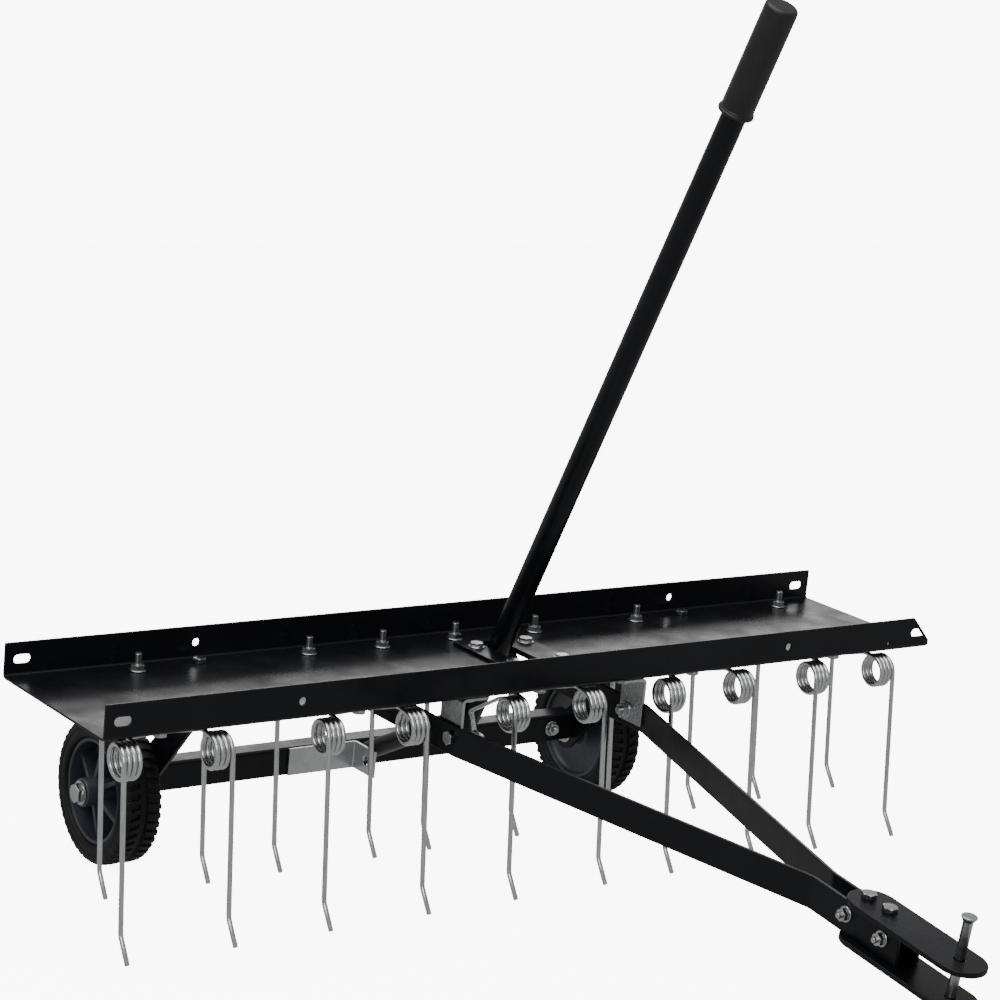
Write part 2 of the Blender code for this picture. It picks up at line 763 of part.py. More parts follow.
def make_hanger(name, side, y, shift=0.0):
    """A bent plate that hangs a drawbar under the tray, with its two bolts."""
    high = -GAP
    outer = HANGER_OUTER_X
    flange_end = outer - HANGER_FLANGE
    section = strip_outline([
        Vector((flange_end, high - HANGER_SHEET / 2.0)),
        Vector((outer - HANGER_SHEET / 2.0, high - HANGER_SHEET / 2.0)),
        Vector((outer - HANGER_SHEET / 2.0, -HANGER_LEG)),
    ], HANGER_SHEET)
    section = [(side * x, z) for x, z in section]
    angle = prism([section], "Y", y - HANGER_WIDTH / 2.0, y + HANGER_WIDTH / 2.0)
    floor_grip = HANGER_SHEET + GAP + TRAY_SHEET + GAP
    floor_bolt = bolt("Z", (side * HANGER_BOLT_X, y, high - HANGER_SHEET), BOLT_HEAD,
                      floor_grip, NUT_HEIGHT, THREAD_END, BOLT_RADIUS, BOLT_HEX)
    head_x = BAR_X + BAR_SHEET / 2.0 + GAP
    side_grip = head_x - outer + HANGER_SHEET
    side_bolt = bolt("X", (0.0, 0.0, 0.0), BOLT_HEAD, side_grip, NUT_HEIGHT,
                     THREAD_END / 3.0, BOLT_RADIUS, BOLT_HEX)
    if side > 0.0:
        side_bolt.transform(Matrix.Rotation(math.pi, 4, "Z"))
    side_bolt.transform(Matrix.Translation((side * head_x, y + shift, HANGER_BOLT_Z)))
    return add_piece(name, fused(angle, floor_bolt, side_bolt), ZINC, BASE)


# Hitch

def make_hitch():
    half = BAR_DEPTH / 2.0 + GAP
    centre = STRAP_WIDTH / 2.0
    outline = arc((0.0, STRAP_FRONT + centre), centre, 180.0, 360.0, 8)
    outline += arc((0.0, STRAP_REAR - centre), centre, 0.0, 180.0, 6)
    bolt_clear = BOLT_RADIUS + BORE_CLEARANCE
    holes = [ring((0.0, y), bolt_clear, 8) for y in STRAP_BOLTS]
    holes.append(ring((0.0, PIN_Y), PIN_RADIUS + BORE_CLEARANCE, 12))
    upper = prism([outline] + holes, "Z", half, half + STRAP_SHEET)
    lower = prism([outline] + holes, "Z", -half - STRAP_SHEET, -half)
    add_piece("hitch_strap_upper", upper, BLACK, HITCH)
    add_piece("hitch_strap_lower", lower, BLACK, HITCH)
    for number, y in enumerate(STRAP_BOLTS, start=1):
        foot = -half - STRAP_SHEET - GAP
        screw = bolt("Z", (0.0, 0.0, 0.0), BOLT_HEAD, -2.0 * foot, NUT_HEIGHT,
                     THREAD_END / 3.0, BOLT_RADIUS, BOLT_HEX)
        screw.transform(Matrix.Rotation(math.pi, 4, "X"))
        screw.transform(Matrix.Translation((0.0, y, -foot)))
        add_piece(f"strap_bolt_{number}", screw, ZINC, HITCH, (0.0, y, 0.0))
    make_spacer()


def make_spacer():
    """The short box between the two drawbars, with the two bolts across it."""
    wide = NOSE_SPREAD / 2.0 - BAR_SHEET / 2.0 - GAP
    tall = BAR_DEPTH / 2.0
    wall = SPACER_WALL
    tube = prism([rectangle((-wide, -tall), (wide, tall)),
                  rectangle((-wide + wall, -tall + wall), (wide - wall, tall - wall))],
                 "Y", SPACER_FRONT, SPACER_REAR)
    bores = []
    for y in STRAP_BOLTS:
        bore = ring((0.0, y), BOLT_RADIUS + BORE_CLEARANCE, 8)
        bores.append(prism([bore], "Z", -BAR_DEPTH, BAR_DEPTH))
    tube = cut(tube, *bores)
    outer = NOSE_SPREAD / 2.0 + BAR_SHEET / 2.0 + GAP
    screws = []
    for y in CROSS_BOLTS:
        screw = bolt("X", (0.0, 0.0, 0.0), BOLT_HEAD, 2.0 * outer, NUT_HEIGHT,
                     THREAD_END / 3.0, CROSS_RADIUS, CROSS_HEX)
        screw.transform(Matrix.Rotation(math.pi, 4, "Z"))
        screw.transform(Matrix.Translation((outer, y, CROSS_RISE)))
        screws.append(screw)
    add_piece("hitch_spacer", fused(tube, *screws), BLACK, HITCH)


def make_pin_and_clip():
    strap_top = BAR_DEPTH / 2.0 + GAP + STRAP_SHEET
    clip_z = -strap_top - CLIP_BELOW_STRAP
    profile = (
        (0.0, PIN_HEAD_RISE),
        (PIN_HEAD_RADIUS, PIN_HEAD_RISE),
        (PIN_HEAD_RADIUS, PIN_HEAD_RISE - PIN_HEAD),
        (PIN_RADIUS, PIN_HEAD_RISE - PIN_HEAD - PIN_HEAD_CONE),
        (PIN_RADIUS, PIN_FOOT + PIN_RADIUS / 2.0),
        (PIN_RADIUS / 2.0, PIN_FOOT),
        (0.0, PIN_FOOT),
    )
    pin = turned(profile, 14, "Z", (0.0, PIN_Y, 0.0))
    bore = prism([ring((PIN_Y, clip_z), CLIP_RADIUS + BORE_CLEARANCE, 8)], "X",
                 -2.0 * PIN_RADIUS, 2.0 * PIN_RADIUS)
    at = (0.0, PIN_Y, 0.0)
    add_piece("hitch_pin", cut(pin, bore), ZINC, HITCH, at)

    beside = PIN_Y + PIN_RADIUS + CLIP_RADIUS + BORE_CLEARANCE
    eye = (beside - PIN_Y) / 2.0
    path = [(-CLIP_LEG, PIN_Y, clip_z), (CLIP_REACH - eye, PIN_Y, clip_z)]
    for x, y in arc((CLIP_REACH - eye, PIN_Y + eye), eye, -90.0, 90.0, 6)[1:]:
        path.append((x, y, clip_z))
    path.append((CLIP_LEG / 2.0, beside, clip_z))
    path.append((-CLIP_LEG / 2.0, beside, clip_z))
    path.append((-CLIP_LEG, beside + CLIP_RADIUS * 2.0, clip_z))
    add_piece("hitch_clip", wire(path, CLIP_RADIUS), ZINC, HITCH, (0.0, PIN_Y, clip_z))


# Lift

def make_hinge_bracket(name, side):
    """The angle under the tray that carries one arm's pin, with its tray bolt."""
    rear = TRAY_DEPTH - TRAY_BEND + 0.002
    front = rear - BRACKET_DEPTH
    inner = BRACKET_INNER_X
    high = -GAP
    section = strip_outline([
        Vector((inner + BRACKET_FLANGE, high - BRACKET_SHEET / 2.0)),
        Vector((inner + BRACKET_SHEET / 2.0, high - BRACKET_SHEET / 2.0)),
        Vector((inner + BRACKET_SHEET / 2.0, -BRACKET_LEG)),
    ], BRACKET_SHEET)
    section = [(side * x, z) for x, z in section]
    angle = prism([section], "Y", front, rear)
    pin_grip = BRACKET_SHEET + ARM_SHEET + 2.0 * GAP - HEAD_SUNK
    pin = bolt("X", (0.0, 0.0, 0.0), BOLT_HEAD, pin_grip, NUT_HEIGHT, 0.001,
               HINGE_PIN_RADIUS, AXLE_HEX)
    if side > 0.0:
        pin.transform(Matrix.Rotation(math.pi, 4, "Z"))
    pin_x = inner + BRACKET_SHEET - HEAD_SUNK
    pin.transform(Matrix.Translation((side * pin_x, HINGE_Y, HINGE_Z)))
    grip = BRACKET_SHEET + TRAY_SHEET + 2.0 * GAP - HEAD_SUNK
    screw = bolt("Z", (0.0, 0.0, 0.0), BOLT_HEAD, grip, NUT_HEIGHT, 0.002,
                 BOLT_RADIUS, BOLT_HEX)
    screw.transform(Matrix.Rotation(math.pi, 4, "X"))
    top = TRAY_SHEET + GAP
    screw.transform(Matrix.Translation((side * BRACKET_BOLT_X, BRACKET_BOLT_Y, top)))
    return add_piece(name, fused(angle, pin, screw), ZINC, BASE)


def make_side_arm(name, side):
    """A tapered plate from the hinge to the axle, with the wheel's bolt in it."""
    outline = link_outline((HINGE_Y, HINGE_Z), ARM_HINGE_RADIUS,
                           (AXLE_Y, AXLE_Z), ARM_AXLE_RADIUS)
    eye = ring((HINGE_Y, HINGE_Z), HINGE_PIN_RADIUS + BORE_CLEARANCE, 12)
    low, high = sorted((side * ARM_INNER_X, side * ARM_OUTER_X))
    plate = prism([outline, eye], "X", low, high)
    hub_end = WHEEL_X + TYRE_WIDTH / 2.0 + HUB_OUTBOARD
    grip = hub_end + WHEEL_PLAY - ARM_INNER_X
    axle = turned((
        (0.0, grip + AXLE_HEAD),
        (AXLE_HEX, grip + AXLE_HEAD),
        (AXLE_HEX, grip),
        (AXLE_RADIUS, grip),
        (AXLE_RADIUS, HEAD_SUNK),
        (AXLE_HEX, HEAD_SUNK),
        (AXLE_HEX, -AXLE_HEAD),
        (0.0, -AXLE_HEAD),
    ), 8, "X", (0.0, 0.0, 0.0))
    if side < 0.0:
        axle.transform(Matrix.Rotation(math.pi, 4, "Z"))
    axle.transform(Matrix.Translation((side * ARM_INNER_X, AXLE_Y, AXLE_Z)))
    return add_piece(name, fused(plate, axle), BLACK, LIFT,
                     (side * ARM_INNER_X, 0.0, 0.0))


def make_beam():
    """The angle bar between the two arms, seen from in front as a flat face."""
    front = AXLE_Y - BEAM_AHEAD_OF_AXLE
    top = BEAM_Z + BEAM_HEIGHT / 2.0
    section = [
        (front, top - BEAM_HEIGHT),
        (front + BEAM_SHEET, top - BEAM_HEIGHT),
        (front + BEAM_SHEET, top - BEAM_SHEET),
        (front + BEAM_LEG, top - BEAM_SHEET),
        (front + BEAM_LEG, top),
        (front, top),
    ]
    reach = ARM_INNER_X - GAP
    beam = prism([section], "X", -reach, reach)
    bores = []
    for x in BEAM_HOLES:
        bore = ring((x, BEAM_Z), FLANGE_HOLE_RADIUS, 8)
        bores.append(prism([bore], "Y", front - 0.01, front + 0.01))
    return add_piece("axle_beam", cut(beam, *bores), BLACK, LIFT)


def make_centre_arm():
    """The tube from the beam to the handle's foot, with the foot's pin."""
    face_y = AXLE_Y - BEAM_AHEAD_OF_AXLE - GAP
    foot = Vector((CENTRE_ARM_X, HANDLE_FOOT.y, HANDLE_FOOT.z))
    seat = Vector((CENTRE_ARM_X, face_y, BEAM_Z))
    along = (seat - foot).normalized()
    past = seat + along * CENTRE_ARM_RADIUS
    tube = wire([foot - along * CENTRE_ARM_PAST_PIN, past], CENTRE_ARM_RADIUS, 3)
    behind = block((CENTRE_ARM_X - 2.0 * CENTRE_ARM_RADIUS, face_y, seat.z - BEAM_LEG),
                   (CENTRE_ARM_X + 2.0 * CENTRE_ARM_RADIUS, face_y + BEAM_LEG,
                    seat.z + BEAM_LEG))
    pin = rod(FOOT_PIN_RADIUS, "X", CENTRE_ARM_X,
              HANDLE_X + HANDLE_RADIUS + FOOT_PIN_END,
              (0.0, HANDLE_FOOT.y, HANDLE_FOOT.z), 8)
    return add_piece("centre_arm", fused(cut(tube, behind), pin), BLACK, LIFT)


def make_beam_bracket():
    """The bent plate that bolts the centre arm to the beam."""
    front = AXLE_Y - BEAM_AHEAD_OF_AXLE - GAP
    side_x = CENTRE_ARM_X - CENTRE_ARM_RADIUS - GAP
    low = BEAM_Z - BEAM_HEIGHT / 2.0
    high = BEAM_Z + BEAM_HEIGHT / 2.0
    middle = BEAM_BRACKET_SHEET / 2.0
    section = strip_outline([
        Vector((side_x - BEAM_BRACKET_WIDTH, front - middle)),
        Vector((side_x - middle, front - middle)),
        Vector((side_x - middle, front - BEAM_BRACKET_TAB)),
    ], BEAM_BRACKET_SHEET)
    angle = prism([section], "Z", low, high)
    hole = ring((front - BEAM_BRACKET_TAB * BEAM_BRACKET_HOLE_SHARE, BEAM_Z),
                BEAM_BRACKET_HOLE, 8)
    bore = prism([hole], "X", side_x - 2.0 * BEAM_BRACKET_SHEET,
                 side_x + BEAM_BRACKET_SHEET)
    return add_piece("beam_bracket", cut(angle, bore), ZINC, LIFT)


def make_handle():
    foot = HANDLE_FOOT - UP_HANDLE * HANDLE_BELOW_PIN
    top = HANDLE_FOOT + UP_HANDLE * (GRIP_START + HANDLE_INTO_GRIP)
    tube = wire([foot, top], HANDLE_RADIUS, 3)
    past = 2.0 * HANDLE_RADIUS
    bore = rod(FOOT_PIN_RADIUS + BORE_CLEARANCE, "X", -past, past, HANDLE_FOOT, 8)
    return add_piece("lift_handle", cut(tube, bore), BLACK, LIFT)


def make_grip():
    """A rubber sleeve with a collar at its lower end and a closed round top."""
    play = GRIP_PLAY
    closed = GRIP_LENGTH - (HANDLE_INTO_GRIP + play)
    length = GRIP_LENGTH
    profile = [(0.0, length)]
    profile += [(GRIP_RADIUS - GRIP_ROUND, length), (GRIP_RADIUS, length - GRIP_ROUND)]
    profile += [
        (GRIP_RADIUS, GRIP_COLLAR + GRIP_ROUND / 3.0),
        (GRIP_COLLAR_RADIUS, GRIP_COLLAR),
        (GRIP_COLLAR_RADIUS, 0.0),
        (HANDLE_RADIUS + play, 0.0),
        (HANDLE_RADIUS + play, length - closed),
        (0.0, length - closed),
    ]
    sleeve = turned(profile, 16, "Z", (0.0, 0.0, 0.0))
    sleeve.transform(Matrix.Rotation(HANDLE_LEAN, 4, "X"))
    sleeve.transform(Matrix.Translation(HANDLE_FOOT + UP_HANDLE * GRIP_START))
    return add_piece("handle_grip", sleeve, RUBBER, LIFT)


def make_lever_stop():
    """The bent strip that hangs under the tray ahead of the handle's foot."""
    right = HANDLE_X - HANDLE_RADIUS - GAP
    left = right - STOP_WIDTH
    high = -GAP - STOP_SHEET / 2.0
    leg_y = STOP_PATH[0][0] - STOP_SHEET / 2.0
    path = [Vector((leg_y - STOP_FLANGE, high)), Vector((leg_y, high))]
    path += [Vector(place) for place in STOP_PATH]
    strip = prism([strip_outline(path, STOP_SHEET)], "X", left, right)
    return add_piece("lever_stop", strip, ZINC, BASE)


# Wheels

def make_tyre(name, parent):
    half = TYRE_WIDTH / 2.0
    bore = (RIM_RADIUS + GAP) / math.cos(math.pi / TYRE_STEPS)
    shoulder = TYRE_SHOULDER
    crown = [(TYRE_RADIUS - shoulder, half - 0.001)]
    crown += [(TYRE_RADIUS - shoulder * 0.3, half - shoulder * 0.25)]
    crown += [(TYRE_RADIUS - 0.0006, half - shoulder)]
    profile = [(bore, half - 0.003), (bore + 0.005, half)]
    profile += crown
    profile += [(radius, -height) for radius, height in reversed(crown)]
    profile += [(bore + 0.005, -half), (bore, -half + 0.003)]
    tyre = turned(profile, TYRE_STEPS, "X", (0.0, 0.0, 0.0), closed=True)
    return add_piece(name, tyre, RUBBER, parent, shift=False)


def make_rim(name, parent, side):
    """A moulded rim: hub, web, band and ribs between them."""
    half = RIM_WIDTH / 2.0
    hub = TYRE_WIDTH / 2.0 + HUB_OUTBOARD
    inboard = TYRE_WIDTH / 2.0 + HUB_INBOARD
    web_in = -RIM_WEB_INBOARD
    web_out = RIM_WEB - RIM_WEB_INBOARD
    bore = AXLE_RADIUS + BORE_CLEARANCE
    band = RIM_RADIUS - RIM_BAND
    profile = [
        (bore, hub),
        (RIM_HUB, hub),
        (RIM_HUB, web_out),
        (band, web_out),
        (band, half),
        (RIM_RADIUS, half),
        (RIM_RADIUS, -half),
        (band, -half),
        (band, web_in),
        (RIM_HUB, web_in),
        (RIM_HUB, -inboard),
        (bore, -inboard),
    ]
    rim = turned(profile, RIM_STEPS, "X", (0.0, 0.0, 0.0), closed=True)
    ribs = []
    rib_low = RIM_HUB - 0.002
    rib_high = band + RIM_BAND / 2.0
    for number in range(RIM_RIBS):
        outline = [
            (rib_low, web_out - RIM_WEB / 2.0),
            (rib_high, web_out - RIM_WEB / 2.0),
            (rib_high, half * RIB_HEIGHTS[0]),
            (rib_low, half * RIB_HEIGHTS[1]),
        ]
        sheet = RIM_RIB_SHEET / 2.0
        rib = prism([outline], "Y", -sheet, sheet)
        rib.transform(Matrix(((0, 0, 1, 0), (0, 1, 0, 0), (1, 0, 0, 0), (0, 0, 0, 1))))
        rib.flip_normals()
        rib.transform(Matrix.Rotation(2.0 * math.pi * number / RIM_RIBS, 4, "X"))
        ribs.append(rib)
    rim = fused(rim, joined(ribs))
    if side < 0.0:
        rim.transform(Matrix.Rotation(math.pi, 4, "Z"))
    return add_piece(name, rim, SLATE, parent, shift=False)


def make_wheel(name, side):
    at = Vector((side * WHEEL_X, AXLE_Y, AXLE_Z)) - Vector((0.0, HINGE_Y, HINGE_Z))
    axle = make_empty(f"axle_{name}", LIFT_AXIS, at)
    make_tyre(f"tyre_{name}", axle)
    make_rim(f"rim_{name}", axle, side)


# The whole machine

def stand_on_ground(carrier):
    """Move the whole machine so that its box stands centred on the origin."""
    bpy.context.view_layer.update()
    depsgraph = bpy.context.evaluated_depsgraph_get()
    corners = []
    for piece in MACHINE.objects:
        if piece.type == "MESH":
            solid = piece.evaluated_get(depsgraph)
            corners += [solid.matrix_world @ vertex.co for vertex in solid.data.vertices]
    low = Vector([min(corner[axis] for corner in corners) for axis in range(3)])
    high = Vector([max(corner[axis] for corner in corners) for axis in range(3)])
    carrier.location = -Vector(((low.x + high.x) / 2.0, (low.y + high.y) / 2.0, low.z))


def make_machine():
    make_tray()
    make_slot_plate()
    make_tines()
    for name, side in (("left", -1.0), ("right", 1.0)):
        make_drawbar(f"drawbar_{name}", side)
        make_hanger(f"hanger_front_{name}", side, FRONT_HANGER_Y, side_bolt_shift(side))
        make_hanger(f"hanger_rear_{name}", side, REAR_HANGER_Y)
        make_hinge_bracket(f"hinge_bracket_{name}", side)
        make_side_arm(f"side_arm_{name}", side)
        make_wheel(name, side)
    make_hitch()
    make_pin_and_clip()
    make_beam()
    make_beam_bracket()
    make_centre_arm()
    make_handle()
    make_lever_stop()
    make_grip()
    stand_on_ground(BASE)


clear_scene()
MACHINE = make_collection("dethatcher")
BLACK = make_material("black_paint", (0.012, 0.013, 0.016), 0.32, 0.0)
ZINC = make_material("zinc", (0.62, 0.65, 0.67), 0.30, 1.0)
RUBBER = make_material("rubber", (0.010, 0.011, 0.012), 0.75, 0.0)
SLATE = make_material("slate_plastic", (0.040, 0.046, 0.062), 0.42, 0.0)
BASE = make_empty("machine", None, (0.0, 0.0, 0.0), LEAN)
HITCH = make_empty("hitch", BASE, (0.0, HITCH_Y, BAR_NOSE_Z), math.atan(NOSE_SLOPE))
LIFT_AXIS = make_empty("lift_axis", BASE, (0.0, HINGE_Y, HINGE_Z))
LIFT = make_empty("lift", LIFT_AXIS, (0.0, -HINGE_Y, -HINGE_Z))
make_machine()
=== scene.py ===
"""Dress the tow-behind dethatcher in glossy black paint, zinc plate, rubber and plastic.

The packed model is the frame. Pieces are built in the deck frame, in metres: X to the
right across the tray, Y to the rear from its front face and Z up from its underside.
The deck leans nose down with the machine, as the record's rear flange shows.
"""

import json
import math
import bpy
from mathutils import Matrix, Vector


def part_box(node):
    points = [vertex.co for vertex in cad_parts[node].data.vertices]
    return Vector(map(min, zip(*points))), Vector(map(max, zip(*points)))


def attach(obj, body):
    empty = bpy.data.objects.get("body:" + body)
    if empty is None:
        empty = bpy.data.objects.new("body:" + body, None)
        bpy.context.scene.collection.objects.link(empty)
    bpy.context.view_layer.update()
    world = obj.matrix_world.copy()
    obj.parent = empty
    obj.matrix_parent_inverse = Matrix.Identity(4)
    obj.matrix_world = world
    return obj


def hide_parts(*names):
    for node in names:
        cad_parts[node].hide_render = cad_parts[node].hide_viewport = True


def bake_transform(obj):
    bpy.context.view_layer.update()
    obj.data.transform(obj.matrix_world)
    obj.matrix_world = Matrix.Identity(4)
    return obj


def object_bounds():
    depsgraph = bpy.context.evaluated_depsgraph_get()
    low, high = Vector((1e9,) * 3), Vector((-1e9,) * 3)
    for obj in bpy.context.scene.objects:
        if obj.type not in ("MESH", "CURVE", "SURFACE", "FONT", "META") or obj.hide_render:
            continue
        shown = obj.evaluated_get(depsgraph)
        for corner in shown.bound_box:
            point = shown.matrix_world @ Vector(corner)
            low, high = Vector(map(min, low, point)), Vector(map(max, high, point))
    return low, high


bl_info = {
    "name": "Tow-behind dethatcher dressing",
    "version": (1, 0, 0),
    "blender": (4, 5, 0),
    "location": "View3D > Sidebar > Dethatcher",
    "description": "Builds the finished surfaces of a tow-behind dethatcher on its frame",
    "category": "Object",
}

import bmesh
import bpy
from mathutils import Matrix, Vector

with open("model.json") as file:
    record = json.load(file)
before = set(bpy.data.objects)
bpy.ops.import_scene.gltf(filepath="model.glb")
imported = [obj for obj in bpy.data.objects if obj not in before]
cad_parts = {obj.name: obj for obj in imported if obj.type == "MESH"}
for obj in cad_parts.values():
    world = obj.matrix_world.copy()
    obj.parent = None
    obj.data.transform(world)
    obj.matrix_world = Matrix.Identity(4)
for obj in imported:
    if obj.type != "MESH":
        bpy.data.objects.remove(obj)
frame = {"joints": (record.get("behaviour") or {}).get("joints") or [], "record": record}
CAD_BOX = [list(corner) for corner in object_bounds()]

JOINTS = {joint["name"]: joint for joint in frame["joints"]}
MOUNTS = {mount["name"]: mount for mount in frame["record"]["mounts"]}
SIDES = {"left": -1.0, "right": 1.0}
ROWS = ("front", "rear")
TINES_IN_ROW = 5
COLLECTION = "dethatcher dressing"

# Corners of the lever's stop below the tray, in the deck's (Y, Z)
STOP_PATH = (
    (0.0823, -0.0328),
    (0.1005, -0.0394),
    (0.1476, -0.0678),
    (0.1388, -0.0880),
    (0.1242, -0.0889),
)

# Place of the deck frame, from the record's point on the rear flange
TRAY_LENGTH = (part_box("tray")[1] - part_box("tray")[0]).x
TRAY_SHEET = 0.0025
TRAY_DEPTH = 0.203
REAR_FACE = MOUNTS["rear_flange_face"]
REAR_FACE_INSET = 0.120
REAR_FACE_RISE = 0.01903
REAR_FACE_POINT = Vector((REAR_FACE_INSET - TRAY_LENGTH / 2.0, TRAY_DEPTH, REAR_FACE_RISE))
REAR_FACE_AXIS = Vector(REAR_FACE["axis"])
DECK_TURN = Matrix.Rotation(math.atan2(REAR_FACE_AXIS.z, REAR_FACE_AXIS.y), 4, "X")
DECK_PLACE = Vector(REAR_FACE["pos_m"]) - DECK_TURN @ REAR_FACE_POINT
DECK = Matrix.Translation(DECK_PLACE) @ DECK_TURN


def in_deck(place):
    """A point of the row frame as the deck frame sees it."""
    return DECK.inverted() @ Vector(place)


HINGE = in_deck(JOINTS["lift_lever"]["pos_m"])
AXLES = {side: in_deck(JOINTS[f"wheel_{side}_spin"]["pos_m"]) for side in SIDES}
COILS = {
    f"{row}_{number}": in_deck(JOINTS[f"tine_{row}_{number}_flex"]["pos_m"])
    for row in ROWS
    for number in range(1, TINES_IN_ROW + 1)
}
PIN_UP = DECK_TURN.inverted() @ Vector(JOINTS["hitch_pin_lift"]["axis"])
NOSE_SLOPE = -PIN_UP.y / PIN_UP.z


# Sizes and colours that a user would change

def length(name, description, default):
    """A size in metres."""
    return bpy.props.FloatProperty(
        name=name, description=description, default=default,
        min=0.0, precision=4, unit="LENGTH",
    )


def place(name, description, default):
    """A coordinate in metres, of either sign."""
    return bpy.props.FloatProperty(
        name=name, description=description, default=default, precision=4, unit="LENGTH",
    )


def angle(name, description, degrees):
    """An angle, given in degrees."""
    return bpy.props.FloatProperty(
        name=name, description=description, default=math.radians(degrees),
        subtype="ANGLE", unit="ROTATION",
    )


def share(name, description, default):
    """A part of a whole, from 0 to 1."""
    return bpy.props.FloatProperty(
        name=name, description=description, default=default,
        min=0.0, max=1.0, subtype="FACTOR",
    )


def colour(name, description, default):
    """A colour in linear red, green and blue."""
    return bpy.props.FloatVectorProperty(
        name=name, description=description, default=default,
        size=3, min=0.0, max=1.0, subtype="COLOR",
    )


class TraySizes(bpy.types.PropertyGroup):
    """The pressed tray and the plate round its slot."""

    flange: length("Flange", "Height of both flanges from the underside", 0.0346)
    bend: length("Bend", "Outer radius of the two bends", 0.005)
    edge: length("Edge", "Rounding of the cut edges", 0.0004)
    corner_length: length("Corner length", "Run of the slanted corner", 0.0245)
    corner_height: length("Corner height", "Drop of the slanted corner", 0.0265)
    slot_length: length("End slot length", "Length of the slots near the ends", 0.018)
    slot_height: length("End slot height", "Height of the slots near the ends", 0.009)
    slot_inset: length("End slot inset", "Slot centre from the tray's end", 0.0184)
    slot_strip: length("Slot strip", "Metal left between slot and slant", 0.0035)
    hole_inset: length("Hole inset", "Flange hole from the tray's end", 0.2065)
    hole_radius: length("Hole radius", "Radius of the flange holes", 0.004)
    hole_rise: length("Hole rise", "Flange holes above the underside", 0.0178)
    drain_inset: length("Drain inset", "Drain hole from the right end", 0.060)
    drain_rise: length("Drain rise", "Drain hole above the underside", 0.0084)
    drain_radius: length("Drain radius", "Radius of the drain hole", 0.0018)
    plate_width: length("Slot plate width", "Plate round the slot, across", 0.088)
    plate_shift: length("Slot plate shift", "Plate centre right of the handle", 0.0065)
    plate_sheet: length("Slot plate sheet", "Thickness of that plate", 0.003)
    plate_margin: length("Slot plate margin", "Plate beyond the slot's ends", 0.009)
    handle_slot_front: length("Slot front", "Front end of the handle's slot", 0.056)
    handle_slot_rear: length("Slot rear", "Rear end of the handle's slot", 0.153)
    handle_slot_play: length("Slot play", "Room at each side of the handle", 0.0015)
    bolts_across: length("Plate bolts across", "Spread of the plate's bolts", 0.063)
    bolts_along: length("Plate bolts along", "Spread from front to rear", 0.064)


class TineSizes(bpy.types.PropertyGroup):
    """The double tines, each bent from one wire."""

    wire: length("Wire", "Radius of the spring wire", 0.0025)
    coil: length("Coil", "Radius of a coil's middle line", 0.016)
    turns: bpy.props.FloatProperty(
        name="Turns", description="Turns of each coil", default=3.25,
        min=1.0, subtype="UNSIGNED",
    )
    pitch: length("Pitch", "Advance of a coil in each turn", 0.0053)
    stub: length("Stub", "Straight wire between coil and bridge", 0.0012)
    spread: length("Spread", "Distance between the two legs", 0.112)
    leg: length("Leg", "Drop from the coil's axis to the heel", 0.1535)
    rake: length("Rake", "Heel ahead of the coil", 0.015)
    heel: length("Heel", "Radius of the bend at the heel", 0.012)
    tip_drop: length("Tip drop", "Tip below the heel", 0.0225)
    tip_reach: length("Tip reach", "Tip ahead of the heel", 0.0155)
    bolt_behind: length("Bolt behind", "Loop bolt behind the coil's axis", 0.022)
    bridge_ahead: length("Bridge ahead", "Bridge wire ahead of the bolt", 0.009)
    bridge_bend: length("Bridge bend", "Radius of the bridge's bends", 0.004)


class FastenerSizes(bpy.types.PropertyGroup):
    """The machine's hexagon bolts."""

    shank: length("Shank", "Radius of the bolts", 0.004)
    corner: length("Corner", "Corner radius of heads and nuts", 0.0075)
    head: length("Head", "Height of a head", 0.005)
    nut: length("Nut", "Height of a nut with its washer", 0.0065)
    tail: length("Tail", "Thread past a tray nut", 0.011)
    washer: length("Washer", "Thickness of a washer", 0.0012)
    washer_rim: length("Washer rim", "Washer beyond the corners", 0.0012)
    pitch: length("Thread pitch", "Advance of the thread", 0.00125)
    depth: length("Thread depth", "Depth of the thread", 0.0006)


class BarSizes(bpy.types.PropertyGroup):
    """The two drawbars and the four plates that hang them."""

    sheet: length("Sheet", "Thickness of a drawbar", 0.004)
    depth: length("Depth", "Height of a drawbar", 0.030)
    drop: length("Drop", "Top edge below the tray", 0.0285)
    spread: length("Spread", "Distance between the bars under the tray", 0.2342)
    bend_y: place("Bend", "Where the bars turn in, behind the front face", 0.004)
    slope: bpy.props.FloatProperty(
        name="Slope", description="Drop for each metre from the bend to the nose",
        default=0.0555, precision=4,
    )
    bend_radius: length("Bend radius", "Radius of the bends", 0.025)
    rear_inset: length("Rear inset", "Rear ends from the tray's rear face", 0.013)
    nose_spread: length("Nose spread", "Distance between the bars' noses", 0.0250)
    nose_bend_y: place("Nose bend", "Where the bars turn parallel", -0.400)
    nose_end_y: place("Nose end", "Front ends of the bars", -0.5125)
    edge: length("Edge", "Rounding of the bars' edges", 0.0007)
    hanger_sheet: length("Hanger sheet", "Thickness of a hanger", 0.003)
    hanger_width: length("Hanger width", "Hanger from front to rear", 0.036)
    hanger_flange: length("Hanger flange", "Hanger's flange under the tray", 0.030)
    hanger_leg: length("Hanger leg", "Hanger down beside the bar", 0.052)
    hanger_front: length("Front hanger", "Front hanger behind the front face", 0.0215)
    left_bolt: place("Left bolt", "Left front side bolt from its hanger's middle", -0.009)
    right_bolt: place("Right bolt", "Right front side bolt likewise", 0.0085)
    hanger_rear: length("Rear hanger", "Rear hanger from the rear face", 0.027)
    hanger_bend: length("Hanger bend", "Inner radius of a hanger's bend", 0.002)
    bolt_share: share("Bolt height", "Side bolt down the bar's height", 0.42)


